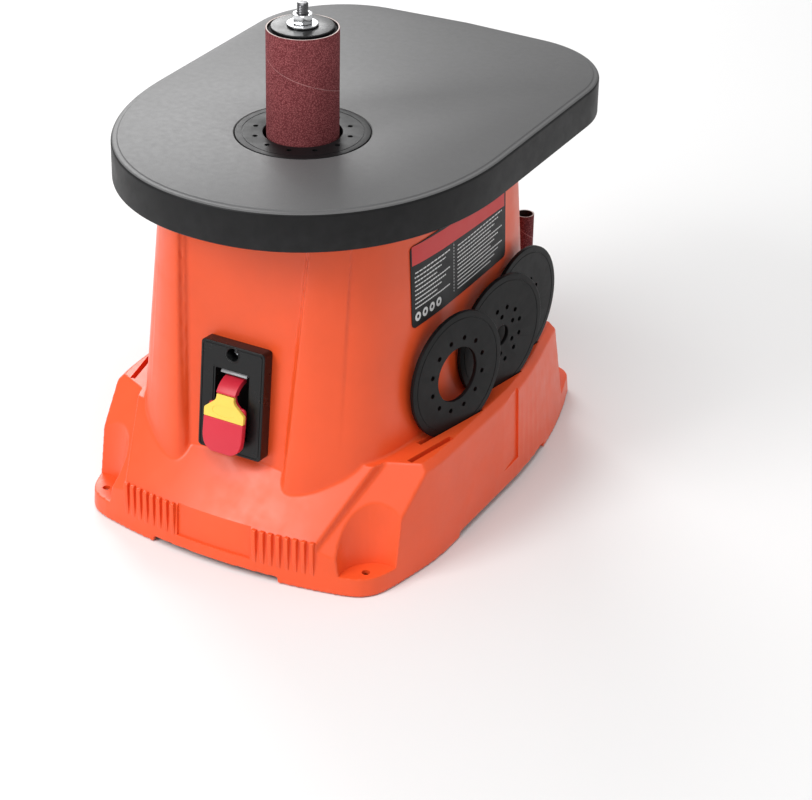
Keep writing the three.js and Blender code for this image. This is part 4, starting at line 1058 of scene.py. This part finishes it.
ORANGE = (0.860, 0.096, 0.022)
MATERIALS = {
    "orange_plastic": moulded("orange_plastic", ORANGE, 0.34),
    "black_plastic": moulded("black_plastic", (0.0048, 0.0050, 0.0054), 0.30, grain=1100, depth=0.00003,
                             mottle=0.15, specular=0.30),
    "switch_grey": moulded("switch_grey", (0.30, 0.30, 0.31), 0.30),
    "foot_rubber": rubber("foot_rubber", (0.012, 0.012, 0.013)),
    "drum_rubber": rubber("drum_rubber", (0.02, 0.02, 0.022)),
    "table_iron": table_metal(),
    "table_edge": table_edge_paint(),
    "zinc": metal("zinc", (0.66, 0.67, 0.68), 0.22, stretch=(1, 1, 6), stain=0.15),
    "abrasive_paper": abrasive("abrasive_paper", (0, SPINDLE_Y * MM), SLEEVE_RADIUS * MM, 0.058, 0.0005,
                               0.447, (0.155, 0.028, 0.033), (0.480, 0.140, 0.145)),
    "stored_abrasive": abrasive("stored_abrasive", (0.079, 0.140), 0.007, 0.030, 0.0005, 0.2,
                                (0.130, 0.025, 0.029), (0.380, 0.105, 0.108)),
    "red_plastic": moulded("red_plastic", (0.62, 0.022, 0.045), 0.36),
    "yellow_plastic": moulded("yellow_plastic", (0.90, 0.63, 0.10), 0.38),
    "cast_aluminium": metal("cast_aluminium", (0.46, 0.47, 0.48), 0.48, grain=420, depth=0.00012),
    "spindle_steel": metal("spindle_steel", (0.15, 0.15, 0.155), 0.30, stretch=(1, 1, 9)),
    "steel": metal("steel", (0.38, 0.385, 0.40), 0.32, stretch=(1, 1, 9)),
    "laminations": laminated(),
    "copper_wire": copper_wire(),
    "bronze": metal("bronze", (0.46, 0.28, 0.09), 0.36, stretch=(1, 5, 1)),
    "label_film": label_film(),
    "insert_plastic": insert_plastic(),
}

# ---------------------------------------------------------------- assembly

BODY_OF = {node: body for body, nodes in RECORD["behaviour"]["bodies"].items() for node in nodes}
SLOT_OF = {entry["node"]: entry["material_slot"] for entry in RECORD["subparts"]}


def install(obj, node, material=None):
    """The detailed piece takes the place of a CAD node, on the same body."""
    obj.name = "vis_" + node
    obj.data.materials.clear()
    obj.data.materials.append(MATERIALS[material or SLOT_OF[node]])
    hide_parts(node)
    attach(obj, BODY_OF[node])
    return obj


install(make_housing(), "housing")
install(make_bottom_plate(), "bottom_plate")
install(make_rear_cover(), "rear_cover")
for index in range(1, 5):
    install(make_foot(f"rubber_foot_{index}"), f"rubber_foot_{index}")
table = install(make_table(), "table_top")
table.data.materials.append(MATERIALS["table_edge"])
for polygon in table.data.polygons:
    if polygon.center.z < (TABLE_Z - 1.4) * MM:
        polygon.material_index = 1
mounted_insert = placed(make_insert(MOUNTED_HOLE, MOUNTED_VENTS), moved(0, SPINDLE_Y, TABLE_Z - 3))
install(mounted_insert, "table_insert", "insert_plastic")
for index in range(3):
    install(stored_insert(index), f"stored_insert_{index + 1}", "insert_plastic")
install(make_peg(-1), "sleeve_peg_left")
install(make_peg(1), "sleeve_peg_right")
install(make_stored_sleeve(), "stored_sleeve", "stored_abrasive")
install(make_switch_plate(), "switch_plate")
switch_body = install(make_switch_body(), "switch_body")
switch_body.data.materials.append(MATERIALS["switch_grey"])
strip_low = (SWITCH @ Vector((0, 0, 17.9 * MM))).z
strip_back = (SWITCH @ Vector((0, -1.2 * MM, 0))).y
for polygon in switch_body.data.polygons:
    if polygon.center.z > strip_low and polygon.center.y < strip_back:
        polygon.material_index = 1
install(make_paddle(), "switch_paddle")
install(make_key(), "safety_key")
install(make_switch_screw(), "switch_screw")
install(make_spindle(), "spindle", "spindle_steel")
install(washer(22, 6.6, SLEEVE_BOTTOM - 3.3, SLEEVE_BOTTOM - 0.3, 0.5), "lower_washer")
install(make_drum(), "rubber_drum")
install(make_sleeve(), "sanding_sleeve")
install(washer(22, 4.3, SLEEVE_TOP - 0.9, SLEEVE_TOP + 1.4, 0.7), "drum_washer")
install(washer(10.9, 4.3, SLEEVE_TOP + 1.7, SLEEVE_TOP + 3.2, 0.4), "small_washer")
install(make_nut(), "spindle_nut")
install(make_port(), "dust_port")
install(make_gland(), "cord_gland")
install(make_label(), "rating_label")

for node, obj in frame["nodes"].items():
    if not obj.hide_render:
        obj.data.materials.clear()
        obj.data.materials.append(MATERIALS[SLOT_OF[node]])

# ---------------------------------------------------------------- floor, light and camera


def plain_surface(name, color, roughness):
    n = Nodes(name)
    return n.done(n.blend(n.noise(3, 3), scaled(color, 0.99), scaled(color, 1.01)), roughness, specular=0.2)


def make_floor():
    """A pale floor that curves up far behind the object."""
    reach, radius, height = 6.0, 2.0, 5.0
    line = [(-reach, 0.0), (reach - radius, 0.0)]
    for k in range(1, 17):
        a = math.radians(90 * k / 16)
        line.append((reach - radius + radius * math.sin(a), radius * (1 - math.cos(a))))
    line.append((reach, height))
    verts = [(x, y, z) for y, z in line for x in (-8.0, 8.0)]
    faces = [(2 * i, 2 * i + 1, 2 * i + 3, 2 * i + 2) for i in range(len(line) - 1)]
    mesh = bpy.data.meshes.new("floor")
    mesh.from_pydata(verts, [], faces)
    floor = bpy.data.objects.new("floor", mesh)
    bpy.context.scene.collection.objects.link(floor)
    mesh.materials.append(plain_surface("floor_paper", (0.86, 0.86, 0.86), 0.75))
    mesh.polygons.foreach_set("use_smooth", [True] * len(mesh.polygons))
    return floor


def area_light(name, place, target, size, power):
    light = bpy.data.lights.new(name, "AREA")
    light.shape = "RECTANGLE"
    light.size, light.size_y = size
    light.energy = power
    obj = bpy.data.objects.new(name, light)
    obj.location = place
    obj.rotation_euler = (Vector(target) - Vector(place)).to_track_quat("-Z", "Y").to_euler()
    bpy.context.scene.collection.objects.link(obj)
    return obj


floor = make_floor()
lights = [
    area_light("key", (-0.9, -1.9, 1.7), (0, 0, 0.15), (0.9, 0.9), 29),
    area_light("rear", (-1.5, 1.5, 1.4), (0, 0, 0.25), (1.2, 1.0), 26),
    area_light("top", (0.2, -1.0, 2.3), (0, -0.1, 0.1), (1.5, 1.2), 23),
]

world = bpy.data.worlds.new("studio")
world.use_nodes = True
world.node_tree.nodes["Background"].inputs["Color"].default_value = (1.0, 1.0, 1.0, 1.0)
world.node_tree.nodes["Background"].inputs["Strength"].default_value = 0.52
bpy.context.scene.world = world
bpy.context.scene.view_settings.view_transform = "Standard"

camera = bpy.data.objects.new("camera", bpy.data.cameras.new("camera"))
bpy.context.scene.collection.objects.link(camera)
camera.location = (0.8130, -1.4123, 0.9708)
camera.rotation_euler = (math.radians(62.09), 0.0, math.radians(30.81))
camera.data.lens = 109.86
camera.data.sensor_width = 36.0
camera.data.shift_x = 0.1195
camera.data.shift_y = -0.0906
camera.data.clip_end = 50
bpy.context.scene.camera = camera
